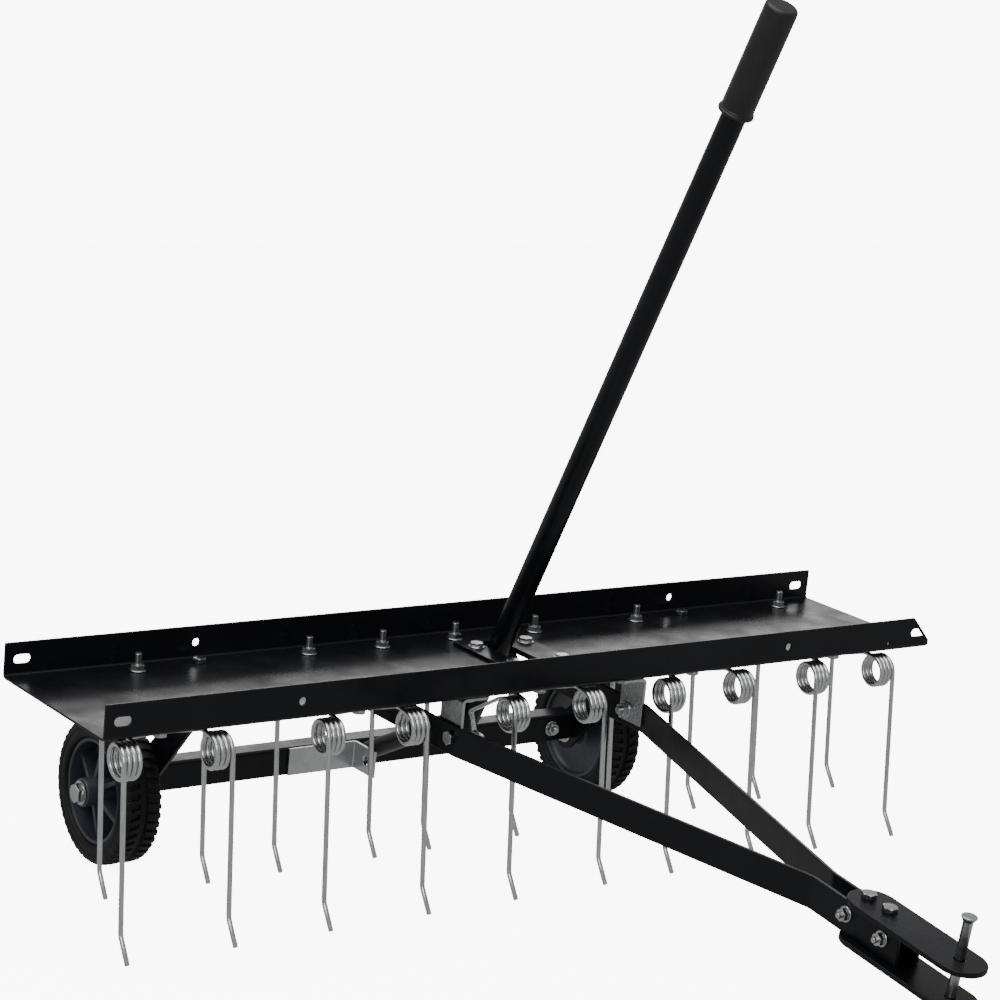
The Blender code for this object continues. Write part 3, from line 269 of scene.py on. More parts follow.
class HitchSizes(bpy.types.PropertyGroup):
    """Straps, bolts, spacer, pin and clip at the nose of the drawbars."""

    centre_y: place("Centre", "Rear strap bolt ahead of the tray", -0.450)
    strap_width: length("Strap width", "Width of both straps", 0.047)
    strap_sheet: length("Strap sheet", "Thickness of both straps", 0.005)
    strap_rear: place("Strap rear", "Rear end behind the centre", 0.0115)
    strap_front: place("Strap front", "Front end ahead of the centre", -0.1450)
    strap_edge: length("Strap edge", "Rounding of the straps' edges", 0.0009)
    bolt_rear: place("Rear strap bolt", "Strap bolt ahead of the centre", -0.0052)
    bolt_gap: length("Bolt gap", "From one strap bolt to the next", 0.0268)
    cross_rear: place("Rear cross bolt", "Cross bolt behind the centre", 0.0032)
    cross_front: place("Front cross bolt", "Cross bolt ahead of the centre", -0.0432)
    cross_rise: length("Cross bolt rise", "Cross bolts above the bars' middle", 0.0025)
    cross_radius: length("Cross bolt radius", "Radius of the cross bolts", 0.003)
    cross_corner: length("Cross bolt corner", "Corner radius of their nuts", 0.0062)
    spacer_wall: length("Spacer wall", "Wall of the box between the bars", 0.003)
    spacer_rear: place("Spacer rear", "Rear end of the box", 0.0105)
    spacer_front: place("Spacer front", "Front end of the box", -0.054)
    pin_y: place("Pin", "Pin ahead of the centre", -0.1195)
    pin: length("Pin radius", "Radius of the pin", 0.0046)
    pin_head: length("Pin head radius", "Radius of the pin's head", 0.0072)
    pin_head_height: length("Pin head height", "Height of the pin's head", 0.0018)
    pin_cone: length("Pin head cone", "Height of the cone under the head", 0.0035)
    pin_rise: length("Pin rise", "Pin's top above the jaw's middle", 0.0610)
    pin_foot: length("Pin foot", "Pin's foot below the jaw's middle", 0.0424)
    clip: length("Clip wire", "Radius of the clip's wire", 0.00125)
    clip_drop: length("Clip drop", "Clip below the lower strap", 0.0065)
    clip_leg: length("Clip leg", "Clip's ends past the pin", 0.014)
    clip_reach: length("Clip reach", "Clip's loop beside the pin", 0.034)


class LiftSizes(bpy.types.PropertyGroup):
    """The wheels' arms, their beam and brackets."""

    arm_inner: length("Arm", "Arms' inner faces from the middle", 0.281)
    arm_sheet: length("Arm sheet", "Thickness of the arms", 0.004)
    arm_hinge: length("Arm hinge end", "Radius of the arms' upper ends", 0.012)
    arm_axle: length("Arm axle end", "Radius of the arms' lower ends", 0.020)
    hinge_pin: length("Hinge pin", "Radius of the hinge pins", 0.006)
    bracket_sheet: length("Bracket sheet", "Thickness of the brackets", 0.003)
    bracket_flange: length("Bracket flange", "Bracket under the tray", 0.036)
    bracket_depth: length("Bracket depth", "Bracket from front to rear", 0.024)
    bracket_leg: length("Bracket leg", "Bracket below the tray", 0.038)
    bracket_bolt_x: length("Bracket bolt", "Tray bolt beside the bracket", 0.018)
    bracket_bolt_y: length("Bracket bolt ahead", "Tray bolt ahead of the hinge", 0.006)
    beam_height: length("Beam height", "Front face of the beam", 0.030)
    beam_leg: length("Beam leg", "Top leg of the beam", 0.026)
    beam_sheet: length("Beam sheet", "Thickness of the beam", 0.003)
    beam_ahead: length("Beam ahead", "Beam's face ahead of the axle", 0.0165)
    beam_rise: length("Beam rise", "Beam's middle above the axle", 0.012)
    beam_bolt: length("Beam bolt", "Bolt right of the middle", 0.248)
    beam_holes: bpy.props.FloatVectorProperty(
        name="Beam holes", description="Holes right of the middle",
        default=(0.012, 0.030), size=2, unit="LENGTH",
    )
    centre_radius: length("Centre arm radius", "Radius of the centre arm's tube", 0.010)
    centre_gap: length("Centre arm gap", "Between that arm and the handle", 0.007)
    centre_past: length("Centre arm end", "Arm's end past the foot's pin", 0.012)
    tab_width: length("Beam bracket width", "Bracket along the beam", 0.086)
    tab_reach: length("Beam bracket reach", "Bracket along the arm", 0.042)
    tab_sheet: length("Beam bracket sheet", "Thickness of the bracket", 0.003)


class HandleSizes(bpy.types.PropertyGroup):
    """The lift handle, its grip and the strip that stops it under the tray."""

    x: place("Handle", "Handle right of the middle", 0.0185)
    radius: length("Radius", "Radius of the tube", 0.012)
    wall: length("Wall", "Wall of the tube", 0.0015)
    lean: angle("Lean", "Lean of the handle towards the front", 25.06)
    crossing_y: length("Crossing", "Where the handle meets the deck", 0.1328)
    foot_drop: length("Foot drop", "Foot's pin below the deck", 0.088)
    foot_end: length("Foot end", "Tube's end below the pin", 0.012)
    foot_pin: length("Foot pin", "Radius of the foot's pin", 0.005)
    grip_start: length("Grip start", "Grip's lower end from the foot's pin", 0.748)
    grip_length: length("Grip length", "Length of the grip", 0.113)
    into_grip: length("Into grip", "Tube's end inside the grip", 0.095)
    grip_radius: length("Grip radius", "Radius of the grip", 0.0158)
    collar_radius: length("Collar radius", "Radius of the grip's collar", 0.0175)
    collar: length("Collar", "Height of the grip's collar", 0.0045)
    stop_sheet: length("Stop sheet", "Thickness of the lever's stop", 0.003)
    stop_width: length("Stop width", "Width of the stop's strip", 0.006)
    stop_flange: length("Stop flange", "Strip along the tray's underside", 0.020)
    stop_bend: length("Stop bend", "Inner radius of the strip's bends", 0.002)


class WheelSizes(bpy.types.PropertyGroup):
    """The two transport wheels."""

    radius: length("Radius", "Radius over the tread", 0.0772)
    width: length("Width", "Width of the tyre", 0.045)
    shoulder: length("Shoulder", "Rounding of the shoulders", 0.008)
    groove: length("Groove", "Depth of the tread's grooves", 0.0026)
    outboard_cut: share("Outboard grooves", "Share of that depth on the outer wall", 0.35)
    lugs: bpy.props.IntProperty(
        name="Lugs", description="Tread blocks round each shoulder", default=46,
        min=12, subtype="UNSIGNED",
    )
    rim: length("Rim", "Radius of the rim", 0.0555)
    rim_width: length("Rim width", "Width of the rim", 0.038)
    band: length("Rim band", "Thickness of the rim's band", 0.004)
    web: length("Web", "Thickness of the web", 0.004)
    web_inboard: length("Web inboard", "Web's inner face from the middle", 0.010)
    hub: length("Hub", "Radius of the hub", 0.015)
    hub_inboard: length("Hub inboard", "Hub past the tyre's inner face", 0.004)
    hub_outboard: length("Hub outboard", "Hub past the tyre's outer face", 0.010)
    ribs: bpy.props.IntProperty(
        name="Ribs", description="Ribs of each rim", default=6,
        min=3, subtype="UNSIGNED",
    )
    rib: length("Rib", "Thickness of the ribs", 0.005)
    axle: length("Axle", "Radius of the axle bolts", 0.006)
    axle_corner: length("Axle head", "Corner radius of axle heads and nuts", 0.0108)
    axle_head: length("Axle head height", "Height of those heads", 0.0075)
    play: length("Play", "Room beside the hub", 0.0005)


class Finishes(bpy.types.PropertyGroup):
    """Colours and roughness of the surfaces."""

    paint: colour("Paint", "Black powder coat", (0.0035, 0.0038, 0.0052))
    paint_rough: share("Paint roughness", "Blur of the paint's gloss", 0.30)
    zinc: colour("Zinc", "Bright zinc plate", (0.50, 0.515, 0.52))
    zinc_rough: share("Zinc roughness", "Blur of the plated parts", 0.26)
    wire: colour("Wire", "Plated spring wire", (0.62, 0.63, 0.63))
    tyre: colour("Tyre", "Black tread rubber", (0.0030, 0.0033, 0.0042))
    rim: colour("Rim", "Slate-grey moulded plastic", (0.030, 0.035, 0.047))
    grip: colour("Grip", "Black grip rubber", (0.0035, 0.0035, 0.0045))


class StageSizes(bpy.types.PropertyGroup):
    """White paper, pale floor, lights and camera."""

    sky: bpy.props.FloatProperty(
        name="Surround", description="Light that comes from all round",
        default=0.45, min=0.0, subtype="UNSIGNED",
    )
    paper: bpy.props.FloatProperty(
        name="Paper", description="Brightness of the white paper behind",
        default=9.0, min=0.0, subtype="UNSIGNED",
    )
    floor_glow: bpy.props.FloatProperty(
        name="Floor glow", description="Brightness that the pale floor has of itself",
        default=8.2, min=0.0, subtype="UNSIGNED",
    )
    floor_width: bpy.props.FloatProperty(
        name="Floor width", description="Side of the square floor",
        default=60.0, min=1.0, subtype="DISTANCE", unit="LENGTH",
    )
    floor_drop: length("Floor drop", "Floor below the lowest point", 0.001)
    lens: bpy.props.FloatProperty(
        name="Lens", description="Focal length in millimetres on a 36 mm sensor",
        default=100.37, min=1.0, subtype="DISTANCE_CAMERA", unit="CAMERA",
    )
    camera: bpy.props.FloatVectorProperty(
        name="Camera", description="Camera's place in the deck frame",
        default=(-1.66189, -2.07900, 0.78457), size=3, subtype="TRANSLATION",
        unit="LENGTH",
    )
    aim: bpy.props.FloatVectorProperty(
        name="Aim", description="Camera's direction in the deck frame",
        default=(0.58666, 0.77952, -0.21949), size=3, subtype="DIRECTION",
    )
    up: bpy.props.FloatVectorProperty(
        name="Up", description="Top of the picture in the deck frame",
        default=(0.05286, 0.23360, 0.97090), size=3, subtype="DIRECTION",
    )


SIZE_GROUPS = {
    "dethatcher_tray": TraySizes,
    "dethatcher_tines": TineSizes,
    "dethatcher_fasteners": FastenerSizes,
    "dethatcher_bars": BarSizes,
    "dethatcher_hitch": HitchSizes,
    "dethatcher_lift": LiftSizes,
    "dethatcher_handle": HandleSizes,
    "dethatcher_wheels": WheelSizes,
    "dethatcher_finishes": Finishes,
    "dethatcher_stage": StageSizes,
}


# Making solids

# Between pieces that touch, and round a pin or tube in its bore
GAP = 0.0003
PLAY = 0.0004

# How near points are welded, and how far a cutter runs past what it cuts
WELD = 0.00001
PAST = 0.02

FLAT_ANGLE = 0.4
SMOOTH_STEPS = 48
PLATE_EASE = 0.0004
BLUNT_SHARE = 0.72
AXES = {
    "X": Matrix(((0, 0, 1, 0), (1, 0, 0, 0), (0, 1, 0, 0), (0, 0, 0, 1))),
    "Y": Matrix(((1, 0, 0, 0), (0, 0, -1, 0), (0, 1, 0, 0), (0, 0, 0, 1))),
    "Z": Matrix.Identity(4),
}


def collection():
    """The collection that holds every piece of the dressing."""
    found = bpy.data.collections.get(COLLECTION)
    if found is None:
        found = bpy.data.collections.new(COLLECTION)
        bpy.context.scene.collection.children.link(found)
    return found


def helper(data):
    """An object that holds a mesh or curve while modifiers work on it."""
    thing = bpy.data.objects.new("helper", data)
    collection().objects.link(thing)
    return thing


def settled(thing):
    """The final mesh of a helper object, which is then removed."""
    bpy.context.view_layer.update()
    graph = bpy.context.evaluated_depsgraph_get()
    mesh = bpy.data.meshes.new_from_object(
        thing.evaluated_get(graph), preserve_all_data_layers=True, depsgraph=graph,
    )
    mesh.transform(thing.matrix_world)
    bpy.data.objects.remove(thing)
    return mesh


def cleaned(mesh):
    """Weld a mesh, merge its flat faces and turn them all outwards."""
    work = bmesh.new()
    work.from_mesh(mesh)
    bmesh.ops.remove_doubles(work, verts=work.verts, dist=WELD)
    bmesh.ops.dissolve_limit(
        work, angle_limit=math.radians(FLAT_ANGLE), verts=work.verts, edges=work.edges,
    )
    bmesh.ops.recalc_face_normals(work, faces=work.faces)
    work.to_mesh(mesh)
    work.free()
    return mesh


def joined(*meshes):
    """Several meshes as one, each still a body of its own."""
    work = bmesh.new()
    for mesh in meshes:
        work.from_mesh(mesh)
    result = bpy.data.meshes.new("joined")
    work.to_mesh(result)
    work.free()
    return result


def combined(mesh, operation, *tools):
    """Boolean of a mesh with a group of tool meshes that don't touch each other."""
    body = helper(mesh)
    tool = helper(joined(*tools))
    modifier = body.modifiers.new("combine", "BOOLEAN")
    modifier.operation = operation
    modifier.solver = "EXACT"
    modifier.object = tool
    result = settled(body)
    bpy.data.objects.remove(tool)
    return result


def eased(mesh, width, segments=2, limit=40.0):
    """Round a mesh's sharp edges and keep its flat faces flat in the light."""
    mesh = cleaned(mesh)
    mesh.shade_smooth()
    thing = helper(mesh)
    bevel = thing.modifiers.new("ease", "BEVEL")
    bevel.width = width
    bevel.segments = segments
    bevel.limit_method = "ANGLE"
    bevel.angle_limit = math.radians(limit)
    bevel.use_clamp_overlap = False
    flats = thing.modifiers.new("flats", "WEIGHTED_NORMAL")
    flats.keep_sharp = True
    return settled(thing)


def smoothed(mesh, limit=35.0):
    """Shade a mesh smooth, except across sharp edges."""
    mesh.shade_smooth()
    mesh.set_sharp_from_angle(angle=math.radians(limit))
    return mesh


def moved(mesh, *transforms):
    """Apply transforms to a mesh in the order given."""
    for transform in transforms:
        mesh.transform(transform)
    return mesh


def turn(degrees, axis):
    """A turn about one axis through the origin."""
    return Matrix.Rotation(math.radians(degrees), 4, axis)


def shift(x, y, z):
    """A shift along the three axes."""
    return Matrix.Translation((x, y, z))


def prism(loops, axis, low, high):
    """A flat outline, with holes where more loops follow, extruded along an axis.

    Its points are (Y, Z) along X, (X, Z) along Y and (X, Y) along Z.
    """
    curve = bpy.data.curves.new("outline", "CURVE")
    curve.dimensions = "2D"
    curve.fill_mode = "BOTH"
    curve.extrude = (high - low) / 2.0
    for loop in loops:
        spline = curve.splines.new("POLY")
        spline.points.add(len(loop) - 1)
        for point, (first, second) in zip(spline.points, loop):
            point.co = (first, second, 0.0, 1.0)
        spline.use_cyclic_u = True
    middle = (low + high) / 2.0
    if axis == "Y":
        middle = -middle
    thing = helper(curve)
    thing.matrix_world = AXES[axis] @ shift(0.0, 0.0, middle)
    return cleaned(settled(thing))


def turned(profile, steps=SMOOTH_STEPS, closed=False):
    """A profile of (radius, height) points, top first, turned round the Z axis."""
    mesh = bpy.data.meshes.new("profile")
    count = len(profile)
    edges = [(index, index + 1) for index in range(count - 1)]
    if closed:
        edges.append((count - 1, 0))
    mesh.from_pydata([(radius, 0.0, height) for radius, height in profile], edges, [])
    thing = helper(mesh)
    screw = thing.modifiers.new("turn", "SCREW")
    screw.steps = steps
    screw.render_steps = steps
    screw.use_merge_vertices = True
    screw.merge_threshold = WELD
    mesh = settled(thing)
    work = bmesh.new()
    work.from_mesh(mesh)
    bmesh.ops.remove_doubles(work, verts=work.verts, dist=WELD)
    bmesh.ops.recalc_face_normals(work, faces=work.faces)
    work.to_mesh(mesh)
    work.free()
    return mesh


def tube(points, radius, sides, blunt):
    """A round wire through points, its ends drawn in over a short blunt length."""
    points = [Vector(point) for point in points]
    first = (points[0] - points[1]).normalized()
    last = (points[-1] - points[-2]).normalized()
    scales = [BLUNT_SHARE] + [1.0] * len(points) + [BLUNT_SHARE]
    points = [points[0] + first * blunt] + points + [points[-1] + last * blunt]
    work = bmesh.new()
    rings = []
    ahead = (points[1] - points[0]).normalized()
    side = ahead.orthogonal().normalized()
    for index, point in enumerate(points):
        before = points[max(index - 1, 0)]
        after = points[min(index + 1, len(points) - 1)]
        along = (after - before).normalized()
        side = ahead.rotation_difference(along) @ side
        ahead = along
        across = along.cross(side)
        ring = []
        for step in range(sides):
            aim = math.tau * step / sides
            spoke = side * math.cos(aim) + across * math.sin(aim)
            ring.append(work.verts.new(point + spoke * radius * scales[index]))
        rings.append(ring)
    for ring, following in zip(rings, rings[1:]):
        for step in range(sides):
            beside = (step + 1) % sides
            work.faces.new((ring[step], ring[beside], following[beside], following[step]))
    work.faces.new(rings[0])
    work.faces.new(rings[-1])
    bmesh.ops.recalc_face_normals(work, faces=work.faces)
    mesh = bpy.data.meshes.new("tube")
    work.to_mesh(mesh)
    work.free()
    return smoothed(mesh, limit=50.0)


# Outlines and paths

def arc(centre, radius, start, end, segments):
    """Points of an arc, with its angles in degrees."""
    points = []
    for step in range(segments + 1):
        aim = math.radians(start + (end - start) * step / segments)
        points.append((
            centre[0] + radius * math.cos(aim),
            centre[1] + radius * math.sin(aim),
        ))
    return points


def ring(centre, radius, sides=32):
    """The outline of a round hole."""
    return arc(centre, radius, 0.0, 360.0, sides)[:-1]


def hexagon(radius):
    """The outline of a hexagon with one corner along the first axis."""
    return arc((0.0, 0.0), radius, 0.0, 360.0, 6)[:-1]


def rounded_rectangle(low, high, radius, segments=6):
    """A rectangle between two corners, with its own corners rounded."""
    outline = arc((high[0] - radius, high[1] - radius), radius, 0.0, 90.0, segments)
    outline += arc((low[0] + radius, high[1] - radius), radius, 90.0, 180.0, segments)
    outline += arc((low[0] + radius, low[1] + radius), radius, 180.0, 270.0, segments)
    outline += arc((high[0] - radius, low[1] + radius), radius, 270.0, 360.0, segments)
    return outline


def rounded_path(corners, radius, segments):
    """A path whose inner corners are rounded by arcs of one radius."""
    path = [Vector(corners[0])]
    for before, corner, after in zip(corners, corners[1:], corners[2:]):
        corner = Vector(corner)
        back = (Vector(before) - corner).normalized()
        ahead = (Vector(after) - corner).normalized()
        half = back.angle(ahead) / 2.0
        reach = radius / math.tan(half)
        centre = corner + (back + ahead).normalized() * radius / math.sin(half)
        first = (corner + back * reach - centre).normalized()
        last = (corner + ahead * reach - centre).normalized()
        for step in range(segments + 1):
            spoke = first.slerp(last, step / segments).normalized()
            path.append(centre + spoke * radius)
    path.append(Vector(corners[-1]))
    return path


def strip(path, sheet):
    """The outline of a bent strip of one thickness along a flat path."""
    left = []
    right = []
    for index, point in enumerate(path):
        before = path[max(index - 1, 0)]
        after = path[min(index + 1, len(path) - 1)]
        into = (point - before).normalized() if index else (after - point).normalized()
        out = (after - point).normalized() if after != point else into
        along = (into + out).normalized()
        side = Vector((-along.y, along.x)) * sheet / 2.0 / along.dot(out)
        left.append(tuple(point + side))
        right.append(tuple(point - side))
    return left + right[::-1]


def link(first, first_radius, second, second_radius, segments=16):
    """The outline of a link with two round ends of unlike radii."""
    run = Vector(second) - Vector(first)
    aim = math.degrees(math.atan2(run.y, run.x))
    lean = math.degrees(math.acos((first_radius - second_radius) / run.length))
    outline = arc(first, first_radius, aim + lean, aim + 360.0 - lean, segments)
    outline += arc(second, second_radius, aim - lean, aim + lean, segments)
    return outline


# Finishes

SOCKETS = {"specular": "Specular IOR Level"}


def set_sockets(node, **values):
    """Set a shader node's unlinked sockets by name."""
    for name, value in values.items():
        node.inputs[SOCKETS.get(name, name.replace("_", " ").title())].default_value = value


def new_finish(name, **values):
    """A new material: its nodes, its shader with some values set, and coordinates."""
    material = bpy.data.materials.new(name)
    material.use_nodes = True
    tree = material.node_tree
    shader = tree.nodes["Principled BSDF"]
    set_sockets(shader, **values)
    where = tree.nodes.new("ShaderNodeTexCoord").outputs["Object"]
    return tree, shader, where


def noise(tree, where, scale, detail, roughness=0.5, stretch=None):
    """A noise texture in metres, optionally stretched along an axis."""
    if stretch:
        mapping = tree.nodes.new("ShaderNodeMapping")
        mapping.inputs["Scale"].default_value = stretch
        tree.links.new(where, mapping.inputs["Vector"])
        where = mapping.outputs["Vector"]
    texture = tree.nodes.new("ShaderNodeTexNoise")
    set_sockets(texture, scale=scale, detail=detail, roughness=roughness)
    tree.links.new(where, texture.inputs["Vector"])
    return texture.outputs["Fac"]


def ranged(tree, source, low, high, first, last):
    """Map part of a texture's range to other values."""
    made = tree.nodes.new("ShaderNodeMapRange")
    set_sockets(made, from_min=low, from_max=high, to_min=first, to_max=last)
    tree.links.new(source, made.inputs["Value"])
    return made.outputs["Result"]


def mixed(tree, factor, first, second):
    """Blend two colours by a texture."""
    made = tree.nodes.new("ShaderNodeMix")
    made.data_type = "RGBA"
    set_sockets(made, a=(*first, 1.0), b=(*second, 1.0))
    tree.links.new(factor, made.inputs["Factor"])
    return made.outputs["Result"]


def scaled(shade, factor):
    """A colour made lighter or darker."""
    return tuple(min(part * factor, 1.0) for part in shade)


def clouded(tree, shader, texture, span, shade, factors):
    """Tint a shader between two strengths of its colour, over a texture's span."""
    tint = mixed(tree, ranged(tree, texture, *span, 0.0, 1.0),
                 scaled(shade, factors[0]), scaled(shade, factors[1]))
    tree.links.new(tint, shader.inputs["Base Color"])


def roughened(tree, shader, texture, span, low, high):
    """Let a shader's roughness follow a texture over its span."""
    rough = ranged(tree, texture, *span, low, high)
    tree.links.new(rough, shader.inputs["Roughness"])


def bumped(tree, shader, height, depth):
    """Raise a shader's surface by a texture, with its depth in metres."""
    made = tree.nodes.new("ShaderNodeBump")
    set_sockets(made, strength=1.0, distance=depth)
    tree.links.new(height, made.inputs["Height"])
    tree.links.new(made.outputs["Normal"], shader.inputs["Normal"])


def paint_finish(values):
    """Glossy black powder coat with its faint orange peel."""
    tree, shader, where = new_finish("powder_coat", specular=0.22)
    clouded(tree, shader, noise(tree, where, scale=9.0, detail=4.0), (0.45, 0.75),
            values.paint, (1.0, 1.7))
    roughened(tree, shader, noise(tree, where, scale=28.0, detail=5.0), (0.35, 0.7),
              values.paint_rough * 0.8, values.paint_rough * 1.35)
    bumped(tree, shader, noise(tree, where, scale=420.0, detail=2.0), depth=0.00001)


def zinc_finish(values):
    """Bright zinc plate, slightly cloudy, with a fine grain."""
    tree, shader, where = new_finish("zinc_plate", metallic=1.0)
    clouded(tree, shader, noise(tree, where, scale=70.0, detail=4.0), (0.35, 0.65),
            values.zinc, (0.90, 1.06))
    roughened(tree, shader, noise(tree, where, scale=160.0, detail=5.0), (0.3, 0.7),
              values.zinc_rough * 0.85, values.zinc_rough * 1.2)
    bumped(tree, shader, noise(tree, where, scale=1400.0, detail=3.0), depth=0.000004)


def wire_finish(values):
    """Drawn spring wire with zinc plate, streaked down its legs."""
    tree, shader, where = new_finish("zinc_wire", metallic=1.0)
    streak = noise(tree, where, scale=1.0, detail=4.0, stretch=(900.0, 900.0, 45.0))
    clouded(tree, shader, streak, (0.35, 0.7), values.wire, (0.78, 1.1))
    roughened(tree, shader, noise(tree, where, scale=90.0, detail=5.0), (0.3, 0.7),
              values.zinc_rough * 0.7, values.zinc_rough * 1.15)
    bumped(tree, shader, streak, depth=0.00002)


def tyre_finish(values):
    """Black tread rubber, dull and lightly dusty."""
    tree, shader, where = new_finish("tread_rubber", specular=0.28)
    dust = noise(tree, where, scale=60.0, detail=6.0, roughness=0.6)
    clouded(tree, shader, dust, (0.45, 0.8), values.tyre, (1.0, 1.9))
    roughened(tree, shader, dust, (0.3, 0.7), 0.48, 0.68)
    bumped(tree, shader, noise(tree, where, scale=900.0, detail=3.0), depth=0.00006)


def rim_finish(values):
    """Slate-grey moulded plastic with a fine spark texture."""
    tree, shader, where = new_finish("slate_moulding")
    clouded(tree, shader, noise(tree, where, scale=45.0, detail=4.0), (0.4, 0.7),
            values.rim, (0.9, 1.18))
    roughened(tree, shader, noise(tree, where, scale=240.0, detail=4.0), (0.3, 0.7), 0.34, 0.48)
    bumped(tree, shader, noise(tree, where, scale=1500.0, detail=2.0), depth=0.00003)


def grip_finish(values):
    """Black grip rubber with a satin skin."""
    tree, shader, where = new_finish("grip_sleeve")
    cloud = noise(tree, where, scale=55.0, detail=5.0)
    clouded(tree, shader, cloud, (0.4, 0.75), values.grip, (1.0, 1.8))
    roughened(tree, shader, cloud, (0.3, 0.7), 0.38, 0.52)
    bumped(tree, shader, noise(tree, where, scale=1100.0, detail=2.0), depth=0.00004)


FINISH_MAKERS = {
    "paint": paint_finish,
    "zinc": zinc_finish,
    "wire": wire_finish,
    "tyre": tyre_finish,
    "rim": rim_finish,
    "grip": grip_finish,
}
FINISH_NAMES = {
    "paint": "powder_coat",
    "zinc": "zinc_plate",
    "wire": "zinc_wire",
    "tyre": "tread_rubber",
    "rim": "slate_moulding",
    "grip": "grip_sleeve",
}


def add_piece(name, mesh, finish, body, nodes=(), carrier=None):
    """Put a mesh in the scene as a piece of one body that stands for some nodes."""
    mesh.name = name
    mesh.materials.clear()
    mesh.materials.append(bpy.data.materials[FINISH_NAMES[finish]])
    seat = DECK if carrier is None else carrier
    mesh.transform(seat.to_3x3().to_4x4())
    piece = bpy.data.objects.new(name, mesh)
    piece.matrix_world = Matrix.Translation(seat.to_translation())
    collection().objects.link(piece)
    if nodes:
        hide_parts(*nodes)
    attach(piece, body)
    return piece


# Fasteners

# The turned face of heads and nuts: its radius against the flats, and its slope
TURNED_SHARE = 0.97
TURNED_SLOPE = 30.0
TURNING_REACH = 1.25
HEXAGON_EASE = 0.00018
WASHER_EASE = 0.25


def hexagon_body(radius, low, high, ends):
    """A hexagon bar whose corners are turned off at the ends named "low" or "high"."""
    bar = prism([hexagon(radius)], "Z", low, high)
    flat = radius * math.cos(math.pi / 6.0) * TURNED_SHARE
    reach = radius * TURNING_REACH
    drop = (reach - flat) * math.tan(math.radians(TURNED_SLOPE))
    profile = [(0.0, high), (flat, high), (reach, high - drop)]
    if "high" not in ends:
        profile = [(0.0, high + PAST), (reach, high + PAST)]
    if "low" in ends:
        profile += [(reach, low + drop), (flat, low), (0.0, low)]
    else:
        profile += [(reach, low - PAST), (0.0, low - PAST)]
    return eased(combined(bar, "INTERSECT", turned(profile)), HEXAGON_EASE,
                 segments=1, limit=25.0)


def washer_body(inner, outer, low, high):
    """A flat washer between two heights."""
    ease = (high - low) * WASHER_EASE
    profile = [
        (inner, high),
        (outer - ease, high),
        (outer, high - ease),
        (outer, low + ease),
        (outer - ease, low),
        (inner, low),
    ]
    return smoothed(turned(profile, closed=True), limit=50.0)


def thread_body(radius, low, high, pitch, depth, steps=20):
    """A threaded rod: a ridge that climbs one pitch in each turn, closed at its ends."""
    work = bmesh.new()
    levels = int(math.ceil((high - low) / pitch)) * 2 + 4
    inner = radius - depth
    chamfer = depth * 1.2

    def vertex(level, step):
        """A point of the thread: crests on odd levels, roots on even ones."""
        height = low + (level / 2.0 - 1.0 + step / steps) * pitch
        reach = radius if level % 2 else inner
        if height <= low or height >= high:
            height = min(max(height, low), high)
            reach = inner
        elif height > high - chamfer:
            reach = min(reach, inner + high - height)
        aim = math.tau * step / steps
        return (reach * math.cos(aim), reach * math.sin(aim), height)

    grid = [[work.verts.new(vertex(level, step)) for step in range(steps)]
            for level in range(levels + 2)]
    for level in range(levels):
        for step in range(steps):
            beside = step + 1
            climb = 0
            if beside == steps:
                beside = 0
                climb = 2
            if level + 1 + climb > levels + 1:
                continue
            work.faces.new((
                grid[level][step],
                grid[level + climb][beside],
                grid[level + 1 + climb][beside],
                grid[level + 1][step],
            ))
    bmesh.ops.remove_doubles(work, verts=work.verts, dist=WELD)
    bmesh.ops.dissolve_degenerate(work, dist=WELD / 2.0, edges=work.edges)
    loose = [vert for vert in work.verts if not vert.link_faces]
    bmesh.ops.delete(work, geom=loose, context="VERTS")
    edges = [edge for edge in work.edges if edge.is_boundary]
    bmesh.ops.holes_fill(work, edges=edges, sides=0)
    bmesh.ops.recalc_face_normals(work, faces=work.faces)
    mesh = bpy.data.meshes.new("thread")
    work.to_mesh(mesh)
    work.free()
    return smoothed(mesh, limit=30.0)


def screw(grip, tail, corner=None, radius=None):
    """A hexagon bolt up the Z axis, with its head under Z = 0 and its nut on the grip."""
    sizes = bpy.context.scene.dethatcher_fasteners
    corner = corner or sizes.corner
    radius = radius or sizes.shank
    foot = grip + sizes.washer
    top = grip + sizes.nut
    return joined(
        hexagon_body(corner, -sizes.head, 0.0, ("low",)),
        turned([(0.0, grip), (radius, grip), (radius, 0.0), (0.0, 0.0)]),
        washer_body(radius, corner + sizes.washer_rim, grip, foot),
        hexagon_body(corner, foot, top, ("low", "high")),
        thread_body(radius, grip, top + tail, sizes.pitch, sizes.depth),
    )


def short_tail(bolts):
    """The thread past a nut that isn't on the tray."""
    return bolts.tail / 3.0


def keep_shading(mesh):
    """Joined bodies share one set of normals, so mark their sharp edges again."""
    return smoothed(mesh, limit=32.0)


# Tray

HANDLE_SLOT_CORNER = 0.004
PLATE_CORNER = 0.003


def tray_section(sizes):
    """The channel's section in (Y, Z), with its two bends."""
    bend = sizes.bend
    inner = bend - TRAY_SHEET
    top = sizes.flange
    section = [(0.0, top)]
    section += arc((bend, bend), bend, 180.0, 270.0, 8)
    section += arc((TRAY_DEPTH - bend, bend), bend, 270.0, 360.0, 8)
    section += [(TRAY_DEPTH, top), (TRAY_DEPTH - TRAY_SHEET, top)]
    section += arc((TRAY_DEPTH - bend, bend), inner, 360.0, 270.0, 8)
    section += arc((bend, bend), inner, 270.0, 180.0, 8)
    section += [(TRAY_SHEET, top)]
    return section


